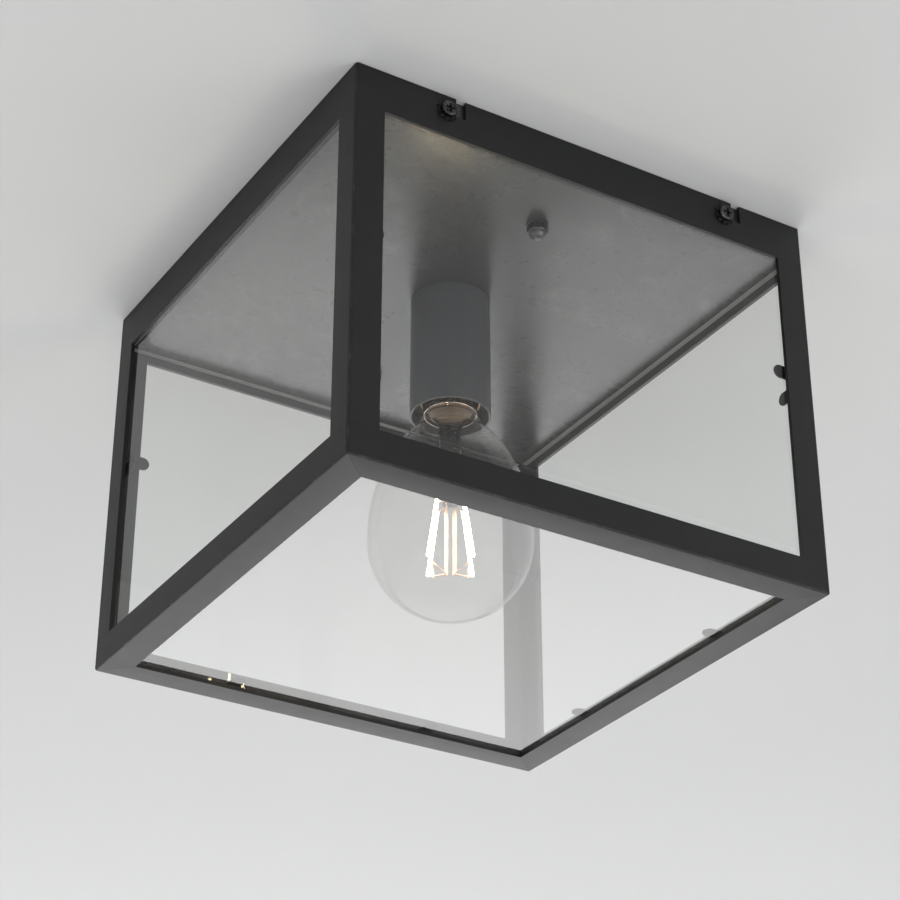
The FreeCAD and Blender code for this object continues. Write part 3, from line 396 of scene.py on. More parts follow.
def clear_pane(name, tint, mirror, haze, haze_colour):
    """Thin clear glass: lets light straight through, mirrors at a slant, and holds a whitish haze,
    partly a dusty film and, where heavy, partly painted reflection.

    The ground top edge, just under the tray, is nearly white: partly frosted by grinding, partly a
    painted highlight of light catching it.
    """
    finish = Finish(name)
    spot, (_, _, z) = finish.place()
    smear = finish.noise(spot, 9.0, 4.0, 0.6)
    speck = finish.noise(spot, 900.0, 1.0)
    through = finish.node("ShaderNodeBsdfTransparent", inputs={"Color": tint})
    # whitish haze: a dusty film, and on the heavily hazed bottom pane partly painted reflection of the
    # pale floor
    dust_and_painted_reflection = finish.node("ShaderNodeBsdfDiffuse", inputs={"Color": haze_colour})
    veil = finish.node("ShaderNodeBsdfTranslucent", inputs={"Color": haze_colour})
    amount = haze * (0.8 + 0.4 * smear) + 0.03 * speck.between(0.7, 0.78)
    # near-white haze at the top edge: partly the frosted ground edge, partly a painted highlight
    amount = amount + 0.8 * z.between(-17.7 * MM, -17.4 * MM)
    body = finish.mixed(amount, through, finish.mixed(0.5, dust_and_painted_reflection, veil))
    shine = finish.node("ShaderNodeBsdfGlossy", inputs={"Color": (1.0, 1.0, 1.0), "Roughness": 0.015})
    return finish.done(finish.mixed(mirror_share(finish, mirror), body, shine))


def blown_glass(name, tint, mirror, wave):
    """Thin blown glass: nearly invisible face on, bright at the rim, with a faint wave in it."""
    finish = Finish(name)
    spot, _ = finish.place()
    ripple = finish.noise(spot, 22.0, 2.0)
    normal = finish.bump(ripple, wave, 0.6)
    through = finish.node("ShaderNodeBsdfTransparent", inputs={"Color": tint})
    shine = finish.node("ShaderNodeBsdfGlossy", inputs={"Roughness": 0.03, "Normal": normal})
    return finish.done(finish.mixed(mirror_share(finish, mirror, Normal=normal), through, shine))


def glowing_coat(name, colour, glow, strength):
    """Yellow coat of a filament stick that glows warm white."""
    finish = Finish(name)
    spot, _ = finish.place()
    grain = finish.noise(spot, 900.0, 2.0)
    paler = tuple(min(1.0, part * 1.1) for part in glow)
    light = finish.blend(grain.between(0.3, 0.7), glow, paler)
    return finish.done(finish.surface(Base_Color=colour, Roughness=0.6, Emission_Color=light,
                                      Emission_Strength=strength))


# ---------------------------------------------------------------- sizes and colours
class LanternSizes(bpy.types.PropertyGroup):
    """Sizes of the finished pieces that the frame leaves open."""

    edge_ease: bpy.props.FloatProperty(
        name="Edge ease", description="Width of the eased edge on the steel strips",
        default=0.15 * MM, unit="LENGTH")
    glass_ease: bpy.props.FloatProperty(
        name="Glass ease", description="Width of the ground edge on the panes",
        default=0.35 * MM, unit="LENGTH")
    thread_depth: bpy.props.FloatProperty(
        name="Thread depth", description="Depth of the rolled thread on the lamp's cap",
        default=1.0 * MM, unit="LENGTH")
    thread_pitch: bpy.props.FloatProperty(
        name="Thread pitch", description="Pitch of the rolled thread on the lamp's cap",
        default=3.63 * MM, unit="LENGTH")
    glass_wall: bpy.props.FloatProperty(
        name="Lamp glass wall", description="Wall of the blown globe",
        default=0.6 * MM, unit="LENGTH")
    washer_teeth: bpy.props.IntProperty(
        name="Washer teeth", description="Teeth round the outside of each lock washer",
        default=10, min=3, subtype="UNSIGNED")


class LanternColours(bpy.types.PropertyGroup):
    """Colours and glow of the finished pieces."""

    coat: bpy.props.FloatVectorProperty(
        name="Powder coat", description="Black coat of the cage",
        default=(0.01, 0.01, 0.011), size=3, subtype="COLOR")
    # far paler than the cage's satin black: painted light, a lit copy of the same black coat
    sleeve: bpy.props.FloatVectorProperty(
        name="Sleeve coat", description="Coat of the lampholder's sleeve",
        default=(0.1, 0.1, 0.108), size=3, subtype="COLOR")
    tray: bpy.props.FloatVectorProperty(
        name="Tray enamel", description="Enamel of the tray",
        default=(0.055, 0.055, 0.056), size=3, subtype="COLOR")
    worn: bpy.props.FloatVectorProperty(
        name="Worn edge", description="Colour that shows where the coat is rubbed",
        default=(0.11, 0.11, 0.11), size=3, subtype="COLOR")
    ceiling: bpy.props.FloatVectorProperty(
        name="Ceiling", description="Colour of the ceiling the lantern hangs from",
        default=(0.8, 0.8, 0.795), size=3, subtype="COLOR")
    glow: bpy.props.FloatVectorProperty(
        name="Glow", description="Colour of the lit filaments",
        default=(1.0, 0.78, 0.5), size=3, subtype="COLOR")
    glow_strength: bpy.props.FloatProperty(
        name="Glow strength", description="Brightness of the lit filaments",
        default=60.0, min=0.0, subtype="UNSIGNED")


def sizes():
    return bpy.context.scene.lantern_sizes


def colours():
    return bpy.context.scene.lantern_colours


def shared(name, maker, *values):
    """A material made once and used again."""
    return bpy.data.materials.get(name) or maker(name, *values)


def steel_coat(name, colour, roughness, gloss, rub=HALF_WIDTH):
    """A coat on steel whose rubbed places show the worn colour."""
    return shared(name, coated_steel, tuple(colour), roughness, tuple(colours().worn), gloss, rub)


def black_coat():
    return steel_coat("satin black coat", colours().coat, 0.5, 1.42)


def dark_plate():
    return shared("dark plating", plated_metal, (0.1, 0.1, 0.105), (0.04, 0.04, 0.042), 0.32)


def pressed_brass():
    return shared("pressed brass", plated_metal, (0.78, 0.6, 0.3), (0.5, 0.38, 0.2), 0.3)


def box_of(node):
    """Lowest and highest corner of a CAD node as arrays."""
    low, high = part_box(node)
    return np.array(low), np.array(high)


# ---------------------------------------------------------------- pieces
def outward_of(corner):
    """Direction along Y in which a corner's screw and washer face."""
    return -1.0 if corner.startswith("front") else 1.0


class LanternCage(bpy.types.Operator):
    """Eases the edges of the bands, posts and rails of the cage and coats them."""

    bl_idname = "lantern.cage"
    bl_label = "Cage"

    def execute(self, context):
        nodes = ["top_band_" + side for side in SIDES]
        nodes += ["corner_post_" + corner for corner in CORNERS]
        nodes += ["bottom_rail_" + side for side in SIDES]
        for node in nodes:
            piece = eased_copy(node, sizes().edge_ease)
            hand_over(piece, black_coat(), "cage", "satin_black", node)
        return {"FINISHED"}


class LanternTabs(bpy.types.Operator):
    """Rounds the edges of the flat tabs that hold the panes."""

    bl_idname = "lantern.tabs"
    bl_label = "Tabs"

    def execute(self, context):
        for node in ("post_tabs", "rail_tabs"):
            piece = eased_copy(node, 0.25 * MM, 3)
            hand_over(piece, black_coat(), "cage", "satin_black", node)
        return {"FINISHED"}


class LanternPanes(bpy.types.Operator):
    """Gives the five panes ground edges and clear glass."""

    bl_idname = "lantern.panes"
    bl_label = "Panes"

    def execute(self, context):
        clear = shared("clear side glass", clear_pane,
                       (0.985, 0.99, 0.987), 1.5, 0.006, (0.8, 0.8, 0.8))
        # the bottom pane's heavier haze: partly a dusty film, partly painted reflection of the pale
        # floor below
        lower = shared("clear bottom glass", clear_pane,
                       (0.81, 0.815, 0.812), 1.6, 0.035, (0.9, 0.9, 0.9))
        for side in SIDES + ("bottom",):
            node = "glass_" + side
            piece = eased_copy(node, sizes().glass_ease, 1)
            hand_over(piece, lower if side == "bottom" else clear, "cage", "clear_glass", node)
        return {"FINISHED"}


class LanternTray(bpy.types.Operator):
    """Enamels the tray and eases its folded edges."""

    bl_idname = "lantern.tray"
    bl_label = "Tray"

    def execute(self, context):
        enamel = steel_coat("tray enamel", colours().tray, 0.29, 1.5, TRAY_RUB)
        piece = eased_copy("base_tray", 0.3 * MM)
        hand_over(piece, enamel, "base", "gloss_black", "base_tray")
        return {"FINISHED"}


def within(distance, half, slope):
    """1 well inside a half width, 0 outside it, a straight slope in between."""
    return np.clip((half - np.abs(distance)) / slope, 0.0, 1.0)


def recess_depth(x, z, half_long, half_wide, depth):
    """Depth of a cross recess: full inside either bar of the cross, fading over its short slopes."""
    slope = 0.22 * MM
    upright = within(x, half_wide, slope) * within(z, half_long, slope)
    level = within(z, half_wide, slope) * within(x, half_long, slope)
    return depth * np.maximum(upright, level)


class LanternFixingScrews(bpy.types.Operator):
    """Turns the four pan-head screws and presses their cross recesses.

    Each is a turned outline whose end face is lowered inside a cross.
    """

    bl_idname = "lantern.fixing_screws"
    bl_label = "Fixing screws"

    def execute(self, context):
        shank, head_depth, brim, crown_drop = 2.0 * MM, 2.6 * MM, 1.1 * MM, 0.21 * MM
        plate = shared("screw plating", plated_metal, (0.13, 0.13, 0.135), (0.03, 0.03, 0.031), 0.26)
        for corner in CORNERS:
            node = "fixing_screw_" + corner
            low, high = box_of(node)
            centre = (low + high) / 2.0
            head = (high[0] - low[0]) / 2.0
            top, end = max(abs(low[1]), abs(high[1])), min(abs(low[1]), abs(high[1]))
            seat = top - head_depth
            radius = np.linspace(0.0, head - 1.0 * MM, 26)[1:]
            crown = np.stack([radius, top - crown_drop * (radius / head) ** 2], axis=-1)
            edge = arc_points((head - brim, top - brim), brim, 78.0, 0.0, 8)[1:]
            rest = np.array([[head, seat + 0.2 * MM], [head - 0.2 * MM, seat], [shank, seat],
                             [shank, end + 0.4 * MM], [shank - 0.4 * MM, end]])
            profile = np.concatenate([[[SCREW_POLE, top]], crown, edge, rest, [[SCREW_POLE, end]]])
            x, z, level = np.moveaxis(lathe(profile, 72), -1, 0)
            dip = recess_depth(x, z, 2.2 * MM, 0.55 * MM, 1.3 * MM)
            level = level - np.where(level > top - 0.6 * MM, dip, 0.0)
            grid = np.stack([centre[0] + x, outward_of(corner) * level, centre[2] + z], axis=-1)
            piece = put_mesh(node + "_turned", [closed_shell(grid)])
            sharp_edges(piece, 40.0)
            hand_over(piece, plate, "screw_" + corner, "black_zinc", node)
        return {"FINISHED"}


class LanternKeyWashers(bpy.types.Operator):
    """Cuts the toothed rim of each lock washer and sets its key in the slot.

    The ring's outline goes once round the axis, cut back and twisted by a wave at its rim.
    """

    bl_idname = "lantern.key_washers"
    bl_label = "Key washers"

    def execute(self, context):
        teeth = sizes().washer_teeth
        thick, tooth_depth, tooth_twist, tooth_half = 0.9 * MM, 0.9 * MM, 0.168 * MM, 0.16 * MM
        key_half, key_drop = 2.2 * MM, 2.1 * MM
        # much darker than the screws' black zinc: partly its own black, partly painted shade for the
        # dark ring round each screw head
        plate = shared("washer plating", plated_metal,
                       (0.035, 0.035, 0.036), (0.015, 0.015, 0.015), 0.4)
        columns = teeth * 16
        angle = np.arange(columns) * math.tau / columns
        whole = np.ones(columns)
        twist = tooth_twist * np.cos(angle * teeth)
        for corner in CORNERS:
            node = "key_washer_" + corner
            low, high = box_of(node)
            outward = outward_of(corner)
            centre_x = (low[0] + high[0]) / 2.0
            ring = (high[0] - low[0]) / 2.0
            centre_z = low[2] + ring
            outer, key_end = max(abs(low[1]), abs(high[1])), min(abs(low[1]), abs(high[1]))
            inner = outer - thick
            middle = (outer + inner) / 2.0
            bore, root = 2.05 * MM * whole, 4.2 * MM * whole
            tooth = ring - tooth_depth * np.clip(0.5 - np.sin(angle * teeth), 0.0, 1.0)
            radii = np.stack([bore, root, tooth, tooth, root, bore])
            levels = np.stack([outer * whole, outer * whole, middle + tooth_half + twist,
                               middle - tooth_half + twist, inner * whole, inner * whole])
            grid = np.stack([centre_x + radii * np.cos(angle), outward * levels,
                             centre_z + radii * np.sin(angle)], axis=-1)
            piece = put_mesh(node + "_toothed", [closed_shell(grid, True)])
            sharp_edges(piece, 35.0)
            hand_over(piece, plate, "washer_" + corner, "black_zinc", node)
            bottom, top = centre_z + key_drop, high[2]
            depth, x = np.meshgrid([key_end, HALF_WIDTH], [-key_half, key_half, key_half, -key_half],
                                   indexing="ij")
            level = np.broadcast_to([bottom, bottom, top, top], (2, 4))
            key = np.stack([centre_x + x, outward * depth, level], axis=-1)
            filler = put_mesh(node + "_key", [closed_shell(key)], smooth=False)
            hand_over(filler, black_coat(), "washer_" + corner, "black_zinc")
        return {"FINISHED"}


class LanternCapNuts(bpy.types.Operator):
    """Shapes the domed nuts under the tray.

    Hexagon outlines with cut corners, then rings whose radius follows a circle down to the pole.
    """

    bl_idname = "lantern.cap_nuts"
    bl_label = "Cap nuts"

    def execute(self, context):
        low, high = box_of("cap_nuts")
        bore, flats, corners, ease = 2.05 * MM, 4.5 * MM, 5.02 * MM, 0.35 * MM
        dome, hex_height, neck = 4.1 * MM, 4.0 * MM, 0.4 * MM
        columns = 96
        angle = np.arange(columns) * math.tau / columns
        sector = (angle + math.pi / 6.0) % (math.pi / 3.0) - math.pi / 6.0
        hexagon = np.minimum(flats / np.cos(sector), corners)
        top, hex_low, dome_centre = high[2], high[2] - hex_height, low[2] + dome
        swing = np.radians(np.linspace(8.0, 90.0, 16))
        rings = dome * np.cos(swing)[:, None] * np.ones(columns)
        radii = np.stack([np.full(columns, bore), hexagon - ease, hexagon, hexagon, hexagon - neck,
                          *rings])
        levels = np.array([top, top, top - ease, hex_low + neck, hex_low, min(hex_low, dome_centre),
                           *(dome_centre - dome * np.sin(swing[1:]))])
        levels = np.repeat(levels[:, None], columns, axis=1)
        parts = []
        for place in (low[1] + flats, high[1] - flats):
            grid = np.stack([radii * np.cos(angle), place + radii * np.sin(angle), levels], axis=-1)
            parts.append(closed_shell(grid))
        piece = put_mesh("cap_nuts_domed", parts)
        sharp_edges(piece, 32.0)
        hand_over(piece, dark_plate(), "base", "black_zinc", "cap_nuts")
        washers = eased_copy("stud_washers", 0.15 * MM)
        hand_over(washers, dark_plate(), "base", "black_zinc", "stud_washers")
        return {"FINISHED"}


class LanternSleeve(bpy.types.Operator):
    """Turns the plain sleeve with its rounded rim."""

    bl_idname = "lantern.sleeve"
    bl_label = "Sleeve"

    def execute(self, context):
        low, high = box_of("lampholder_sleeve")
        outer = (high[0] - low[0]) / 2.0
        wall, round_top, bore = 1.2 * MM, 0.5 * MM, 5.3 * MM
        rim, top = low[2], high[2]
        lip = arc_points((outer - wall / 2.0, rim + wall / 2.0), wall / 2.0, 0.0, -180.0, 12)
        shoulder = arc_points((outer - round_top, top - round_top), round_top, 90.0, 0.0, 6)
        walls = np.array([[outer - wall, top - wall], [bore, top - wall], [bore, top]])
        profile = np.concatenate([shoulder, lip, walls])
        # the sleeve's paler grey is painted light on satin black
        coat = steel_coat("sleeve coat", colours().sleeve, 0.42, 1.5)
        piece = put_mesh("sleeve_turned", [closed_shell(lathe(profile, 128), True)])
        sharp_edges(piece, 40.0)
        hand_over(piece, coat, "base", "satin_black", "lampholder_sleeve")
        return {"FINISHED"}


class LanternHolder(bpy.types.Operator):
    """Finishes the lampholder's body, shell, contact and screws inside the sleeve."""

    bl_idname = "lantern.holder"
    bl_label = "Lampholder"

    def execute(self, context):
        resin = shared("black resin", moulded_plastic, (0.02, 0.02, 0.021), 0.3)
        body = eased_copy("lampholder_body", 0.4 * MM, 3)
        hand_over(body, resin, "base", "black_resin", "lampholder_body")
        for node in ("lampholder_shell", "centre_contact", "holder_screws"):
            piece = eased_copy(node, 0.12 * MM)
            hand_over(piece, pressed_brass(), "base", "brass_parts", node)
        return {"FINISHED"}


class LanternGlobe(bpy.types.Operator):
    """Blows the lamp's globe, neck and collar as one closed wall of glass."""

    bl_idname = "lantern.globe"
    bl_label = "Globe"

    def execute(self, context):
        low, high = box_of("lamp_globe")
        ball, rise, neck, collar = 40.0 * MM, 66.0 * MM, 16.0 * MM, 12.5 * MM
        shoulder_low, shoulder_rise = high[2] - 8.0 * MM, 5.0 * MM
        centre = low[2] + ball
        glass = shared("blown lamp glass", blown_glass, (0.985, 0.985, 0.98), 1.45, 0.0004)

        def wall(inset):
            """Outline: a circle below, an ellipse up to the neck, a rounded shoulder, the collar."""
            lower = arc_points((0.0, centre), ball - inset, -90.0, 0.0, 40)
            meet = math.degrees(math.acos(neck / ball))
            swing = np.radians(np.linspace(0.0, meet, 40))[1:]
            upper = np.stack([ball * np.cos(swing) - inset, centre + rise * np.sin(swing)], axis=-1)
            swing = np.radians(np.linspace(0.0, 90.0, 10))
            shoulder = np.stack([collar - inset + (neck - collar) * np.cos(swing),
                                 shoulder_low + shoulder_rise * np.sin(swing)], axis=-1)
            outline = np.concatenate([lower, upper, shoulder, [[collar - inset, high[2]]]])
            outline[0, 0] = SAME_POINT
            return outline

        profile = np.concatenate([wall(0.0), wall(sizes().glass_wall)[::-1]])
        piece = put_mesh("globe_blown", [closed_shell(lathe(profile, 128))])
        hand_over(piece, glass, "lamp", "lamp_glass", "lamp_globe")
        return {"FINISHED"}


class LanternCap(bpy.types.Operator):
    """Rolls the lamp's cap with its helical thread and sets its insulator and solder tip.

    The thread is a cosine of the level less the angle round the axis, faded out at both ends.
    """

    bl_idname = "lantern.cap"
    bl_label = "Lamp cap"

    def execute(self, context):
        low, high = box_of("lamp_cap")
        columns, wall, gap, run_out = 128, 0.5 * MM, 0.02 * MM, 1.5 * MM
        crest = (high[0] - low[0]) / 2.0
        root = crest - sizes().thread_depth
        thread_low, thread_high = low[2] + 4.0 * MM, high[2] - 1.6 * MM
        angle = np.arange(columns) * math.tau / columns
        level = np.linspace(low[2] + 0.15 * MM, high[2], 150)
        z, theta = np.meshgrid(level, angle, indexing="ij")
        fade = np.clip((z - thread_low) / run_out, 0.0, 1.0)
        fade = fade * np.clip((thread_high - z) / run_out, 0.0, 1.0)
        wave = 0.5 + 0.5 * np.cos(math.tau * z / sizes().thread_pitch - theta)
        skirt = 1.0 - np.clip((z - thread_low) / (1.0 * MM), 0.0, 1.0)
        outside = root + (crest - root) * np.maximum(wave * fade, skirt) - gap
        outer = np.stack([outside * np.cos(theta), outside * np.sin(theta), z], axis=-1)
        rim = lathe(np.array([[crest - wall, low[2]], [crest - 0.15 * MM, low[2]]]), columns)
        inner = lathe(np.array([[root - wall, high[2]], [root - wall, thread_low],
                                [crest - wall, thread_low - wall]]), columns)
        # warm pinkish tint on the nickel cap: painted reflection of the filaments' warm glow
        metal = shared("rolled lamp cap", plated_metal, (0.76, 0.62, 0.55), (0.6, 0.5, 0.45), 0.27)
        piece = put_mesh("cap_rolled", [closed_shell(np.concatenate([rim, outer, inner]), True)])
        sharp_edges(piece, 50.0)
        hand_over(piece, metal, "lamp", "nickel_cap", "lamp_cap")
        # pale pinkish cement: partly its own pale colour, partly painted warm glow from the lit
        # filaments
        cement = shared("cap cement", moulded_plastic, (0.86, 0.66, 0.57), 0.45)
        plug_radius, plug_top = root - 1.2 * MM, low[2] + 12.0 * MM
        inside = np.array([[SAME_POINT, low[2] + 5.0 * MM], [plug_radius, low[2] + 2.4 * MM],
                           [plug_radius, plug_top], [SAME_POINT, plug_top]])
        plug = put_mesh("cap_cement", [closed_shell(lathe(inside, 96))])
        sharp_edges(plug, 40.0)
        hand_over(plug, cement, "lamp", "nickel_cap")
        resin = shared("cap glass", moulded_plastic, (0.015, 0.015, 0.02), 0.15)
        hand_over(eased_copy("cap_insulator", 0.3 * MM), resin, "lamp", "black_resin", "cap_insulator")
        solder = shared("dull solder", plated_metal, (0.6, 0.6, 0.6), (0.45, 0.45, 0.45), 0.4)
        hand_over(eased_copy("contact_tip", 0.5 * MM, 3), solder, "lamp_tip", "solder", "contact_tip")
        return {"FINISHED"}


class LanternStem(bpy.types.Operator):
    """Draws the glass stem with its flare and pinched end.

    A turned outline, pressed flat towards its lower end across the main view's direction.
    """

    bl_idname = "lantern.stem"
    bl_label = "Glass stem"

    def execute(self, context):
        low, high = box_of("glass_stem")
        flare, shaft, bell, quarter = 11.2 * MM, 5.4 * MM, 9.0 * MM, np.radians(90.0)
        swing = quarter - np.radians(np.linspace(90.0, 0.0, 14))
        sweep = np.stack([shaft + (flare - shaft) * (1.0 - np.cos(swing)),
                          high[2] - bell + bell * np.sin(swing)], axis=-1)[::-1]
        rows = [(1.0, high[2] - 12.0 * MM), (1.0, low[2] + 9.0 * MM), (0.94, low[2] + 7.0 * MM),
                (0.8, low[2] + 5.0 * MM), (0.72, low[2] + 2.0 * MM), (0.6, low[2] + 0.5 * MM)]
        drawn = np.array([[share * shaft, level] for share, level in rows] + [[SAME_POINT, low[2]]])
        profile = np.concatenate([[[SAME_POINT, high[2]]], sweep, drawn])
        grid = lathe(profile, 64)
        press = np.clip((low[2] + 8.0 * MM - grid[..., 2]) / (6.0 * MM), 0.0, 1.0)
        turn = math.radians(-EYE_TURN)
        along = grid[..., 0] * math.cos(turn) + grid[..., 1] * math.sin(turn)
        across = -grid[..., 0] * math.sin(turn) + grid[..., 1] * math.cos(turn)
        across = across * (1.0 - 0.55 * press)
        grid[..., 0] = along * math.cos(turn) - across * math.sin(turn)
        grid[..., 1] = along * math.sin(turn) + across * math.cos(turn)
        glass = shared("stem glass", blown_glass, (0.93, 0.93, 0.92), 1.6, 0.0006)
        piece = put_mesh("stem_drawn", [closed_shell(grid)])
        hand_over(piece, glass, "lamp", "lamp_glass", "glass_stem")
        return {"FINISHED"}


def around(radius, degrees, level):
    """A point at a distance from the axis, turned from +X."""
    angle = math.radians(degrees)
    return np.array([radius * math.cos(angle), radius * math.sin(angle), level])


class LanternFilaments(bpy.types.Operator):
    """Sets the four glowing filament sticks, the two pillars and their fine wires.

    Sticks and pillars have half-round ends; each wire is a straight line that sags by a sine.
    """

    bl_idname = "lantern.filaments"
    bl_label = "Filaments"

    def execute(self, context):
        low, high = box_of("lamp_filaments")
        pillar_low, pillar_high = box_of("lamp_pillars")
        stick, wire, pillar, gap = 0.9 * MM, 0.35 * MM, 0.85 * MM, 0.2 * MM
        foot_out, head_out, sticks_low, sticks_high = 2.0 * MM, 5.0 * MM, 15.0 * MM, 9.0 * MM
        first, second = -EYE_TURN, 180.0 - EYE_TURN
        glow = shared("glowing filament", glowing_coat, (0.9, 0.62, 0.25), tuple(colours().glow),
                      colours().glow_strength)
        copper = shared("coppered wire", plated_metal, (0.8, 0.55, 0.45), (0.55, 0.36, 0.3), 0.3)
        step = np.linspace(0.0, 1.0, 14)[:, None]
        sag = np.array([0.0, 0.0, -0.5 * MM]) * np.sin(step * math.pi)
        sticks, wires, pillars = [], [], []
        for angle, side in ((14.0, first), (104.0, second), (194.0, second), (284.0, first)):
            lower = around(sticks_low, angle, low[2] + gap)
            upper = around(sticks_high, angle, high[2] - gap)
            sticks.append(closed_shell(capsule(lower, upper, stick)))
            foot = around(foot_out, side, pillar_low[2] + 1.5 * MM)
            head = around(head_out, angle, pillar_high[2] + 1.5 * MM)
            for start, end in ((foot, lower), (head, upper)):
                wires.append(closed_shell(tube(start + (end - start) * step + sag, wire, 10)))
        for side in (first, second):
            foot, head = around(foot_out, side, pillar_low[2]), around(foot_out, side, pillar_high[2])
            pillars.append(closed_shell(capsule(foot, head, pillar)))
        for name, shells, material, slot, node in (
                ("filament_sticks", sticks, glow, "filament_coat", "lamp_filaments"),
                ("filament_support_wires", wires, copper, "copper_wire", "filament_wires"),
                ("pillars_drawn", pillars, copper, "copper_wire", "lamp_pillars")):
            hand_over(put_mesh(name, shells), material, "lamp", slot, node)
        return {"FINISHED"}


class LanternWiring(bpy.types.Operator):
    """Finishes the bracket, studs, nuts, terminal block and leads above the tray."""

    bl_idname = "lantern.wiring"
    bl_label = "Bracket and wiring"

    def execute(self, context):
        plate = shared("bright plating", plated_metal, (0.62, 0.63, 0.64), (0.45, 0.45, 0.44), 0.35)
        eased = {"ceiling_bracket": 0.3, "bracket_studs": 0.25, "threaded_inserts": 0.25,
                 "holder_nipple": 0.2, "nipple_nut": 0.35, "block_screw": 0.2, "earth_stud": 0.2,
                 "earth_nut": 0.3, "terminal_screws": 0.2}
        for node, ease in eased.items():
            hand_over(eased_copy(node, ease * MM), plate, "base", "zinc_steel", node)
        ring = eased_copy("earth_ring", 0.15 * MM)
        hand_over(ring, pressed_brass(), "base", "brass_parts", "earth_ring")
        nylon = shared("white nylon", moulded_plastic, (0.78, 0.78, 0.75), 0.4)
        block = eased_copy("terminal_block", 0.4 * MM)
        hand_over(block, nylon, "base", "white_plastic", "terminal_block")
        paint("lead_live", shared("brown sheath", moulded_plastic, (0.16, 0.06, 0.03), 0.42))
        paint("lead_neutral", shared("blue sheath", moulded_plastic, (0.03, 0.12, 0.42), 0.42))
        striped = shared("striped sheath", striped_sheath, (0.1, 0.4, 0.06), (0.75, 0.7, 0.06))
        paint("earth_lead", striped)
        return {"FINISHED"}


# ---------------------------------------------------------------- stage
def flat_sheet(name, outline, hole=None):
    """A flat sheet with the given corners, with a square hole in it if its corners are given."""
    faces = [[0, 1, 2, 3]]
    if hole:
        faces = [[step, (step + 1) % 4, 4 + (step + 1) % 4, 4 + step] for step in range(4)]
    mesh = bpy.data.meshes.new(name)
    mesh.from_pydata(outline + (hole or []), [], faces)
    obj = bpy.data.objects.new(name, mesh)
    bpy.context.scene.collection.objects.link(obj)
    return obj


def square(half, level):
    """Corners of a level square, seen counter-clockwise from below."""
    return [(-half, -half, level), (-half, half, level), (half, half, level), (half, -half, level)]


def ceiling_paint(name, colour):
    """Matt ceiling paint with faint unevenness; from above the sheet is clear."""
    finish = Finish(name)
    spot, _ = finish.place()
    cloud = finish.noise(spot, 1.3, 3.0)
    fine = finish.noise(spot, 260.0, 3.0)
    shade = tuple(0.965 * part for part in colour)
    base = finish.blend(cloud.between(0.3, 0.7), shade, colour)
    matt = finish.surface(Base_Color=base, Roughness=0.9, Normal=finish.bump(fine, 0.0004, 0.12))
    clear = finish.node("ShaderNodeBsdfTransparent")
    return finish.done(finish.mixed(finish.inside(), matt, clear))


def floor_paint(name, colour):
    """Pale floor that the camera, glass and metal see as plain white."""
    finish = Finish(name)
    spot, _ = finish.place()
    cloud = finish.noise(spot, 2.0, 3.0)
    shade = tuple(0.97 * part for part in colour)
    base = finish.blend(cloud.between(0.3, 0.7), shade, colour)
    matt = finish.surface(Base_Color=base, Roughness=0.9)
    plain = finish.node("ShaderNodeEmission", inputs={"Color": PLAIN_WHITE, "Strength": 1.0})
    return finish.done(finish.mixed(finish.seen(), matt, plain))


def studio_air(name):
    """Even pale light from all round, seen by the camera, metal and glass as plain white."""
    finish = Finish(name, bpy.data.worlds, "ShaderNodeOutputWorld")
    air = finish.node("ShaderNodeBackground", inputs={"Color": (0.9, 0.92, 0.95), "Strength": 0.8})
    plain = finish.node("ShaderNodeBackground", inputs={"Color": PLAIN_WHITE, "Strength": 1.0})
    return finish.done(finish.mixed(finish.seen(), air, plain))


def soft_lamp(name, place, aim, size, power):
    """A square area lamp that points from one place to another."""
    data = bpy.data.lights.new(name, "AREA")
    data.shape = "SQUARE"
    data.size = size
    data.energy = power
    obj = bpy.data.objects.new(name, data)
    bpy.context.scene.collection.objects.link(obj)
    obj.location = place
    obj.rotation_euler = (Vector(aim) - Vector(place)).to_track_quat("-Z", "Y").to_euler()


def main_view(scene, place, azimuth, elevation, lens):
    """The camera, at a place, turned from +Y by the azimuth and up by the elevation, in degrees."""
    data = bpy.data.cameras.new("camera")
    data.sensor_width = 36.0
    data.lens = lens
    data.clip_start = 0.02
    data.clip_end = 40.0
    camera = bpy.data.objects.new("camera", data)
    scene.collection.objects.link(camera)
    camera.location = place
    turn, rise = math.radians(azimuth), math.radians(elevation)
    look = Vector((math.sin(turn) * math.cos(rise), math.cos(turn) * math.cos(rise), math.sin(rise)))
    camera.rotation_mode = "QUATERNION"
    camera.rotation_quaternion = look.to_track_quat("-Z", "Y")
    scene.camera = camera


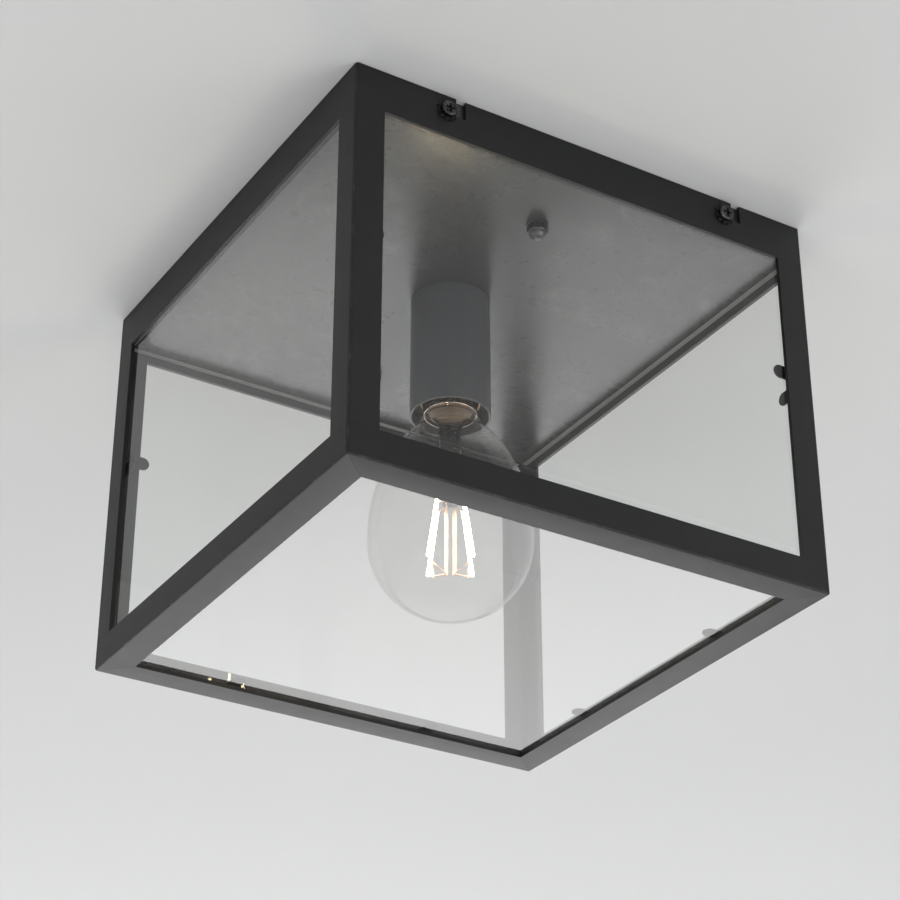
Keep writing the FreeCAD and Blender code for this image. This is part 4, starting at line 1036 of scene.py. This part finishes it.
class LanternStage(bpy.types.Operator):
    """Sets the pale ceiling and floor, the soft light and the camera below the lantern."""

    bl_idname = "lantern.stage"
    bl_label = "Stage and camera"

    def execute(self, context):
        scene = context.scene
        sheet_half, ceiling_level, floor_level = 7.0, 0.2 * MM, -2.1
        ceiling = flat_sheet("ceiling", square(sheet_half, ceiling_level),
                             square(HOLE_HALF, ceiling_level))
        ceiling.data.materials.append(ceiling_paint("ceiling paint", tuple(colours().ceiling)))
        floor = flat_sheet("floor", square(sheet_half, floor_level)[::-1])
        floor.data.materials.append(floor_paint("pale floor", (0.8, 0.8, 0.8)))
        scene.world = studio_air("studio")
        soft_lamp("window light", (0.75, 1.95, -1.3), (0.0, 0.0, -0.1), 2.4, 29.0)
        soft_lamp("fill light", (1.3, -1.9, -1.2), (0.0, 0.0, -0.1), 1.4, 14.0)
        soft_lamp("room light", (-0.9, -0.7, -2.0), (-0.3, -0.3, 0.0), 2.6, 18.0)
        main_view(scene, (-0.51972, -0.85291, -0.66882), 31.345, 29.605, 94.35)
        scene.view_settings.view_transform = "Standard"
        return {"FINISHED"}


class LanternPanel(bpy.types.Panel):
    """Sizes, colours and one button for each group of pieces."""

    bl_idname = "VIEW3D_PT_lantern"
    bl_label = "Porch lantern"
    bl_space_type = "VIEW_3D"
    bl_region_type = "UI"
    bl_category = "Lantern"

    def draw(self, context):
        for group in (context.scene.lantern_sizes, context.scene.lantern_colours):
            for name in group.__annotations__:
                self.layout.prop(group, name)
        for operator in PIECES:
            self.layout.operator(operator.bl_idname)


PIECES = (LanternCage, LanternTabs, LanternPanes, LanternTray, LanternFixingScrews,
          LanternKeyWashers, LanternCapNuts, LanternSleeve, LanternHolder, LanternGlobe, LanternCap,
          LanternStem, LanternFilaments, LanternWiring, LanternStage)
CLASSES = (LanternSizes, LanternColours) + PIECES + (LanternPanel,)


def register():
    for item in CLASSES:
        bpy.utils.register_class(item)
    bpy.types.Scene.lantern_sizes = bpy.props.PointerProperty(type=LanternSizes)
    bpy.types.Scene.lantern_colours = bpy.props.PointerProperty(type=LanternColours)


def unregister():
    del bpy.types.Scene.lantern_colours
    del bpy.types.Scene.lantern_sizes
    for item in reversed(CLASSES):
        bpy.utils.unregister_class(item)


def main():
    """Builds every piece and the stage."""
    register()
    for operator in PIECES:
        group, name = operator.bl_idname.split(".")
        getattr(getattr(bpy.ops, group), name)()


if __name__ == "__main__":
    main()
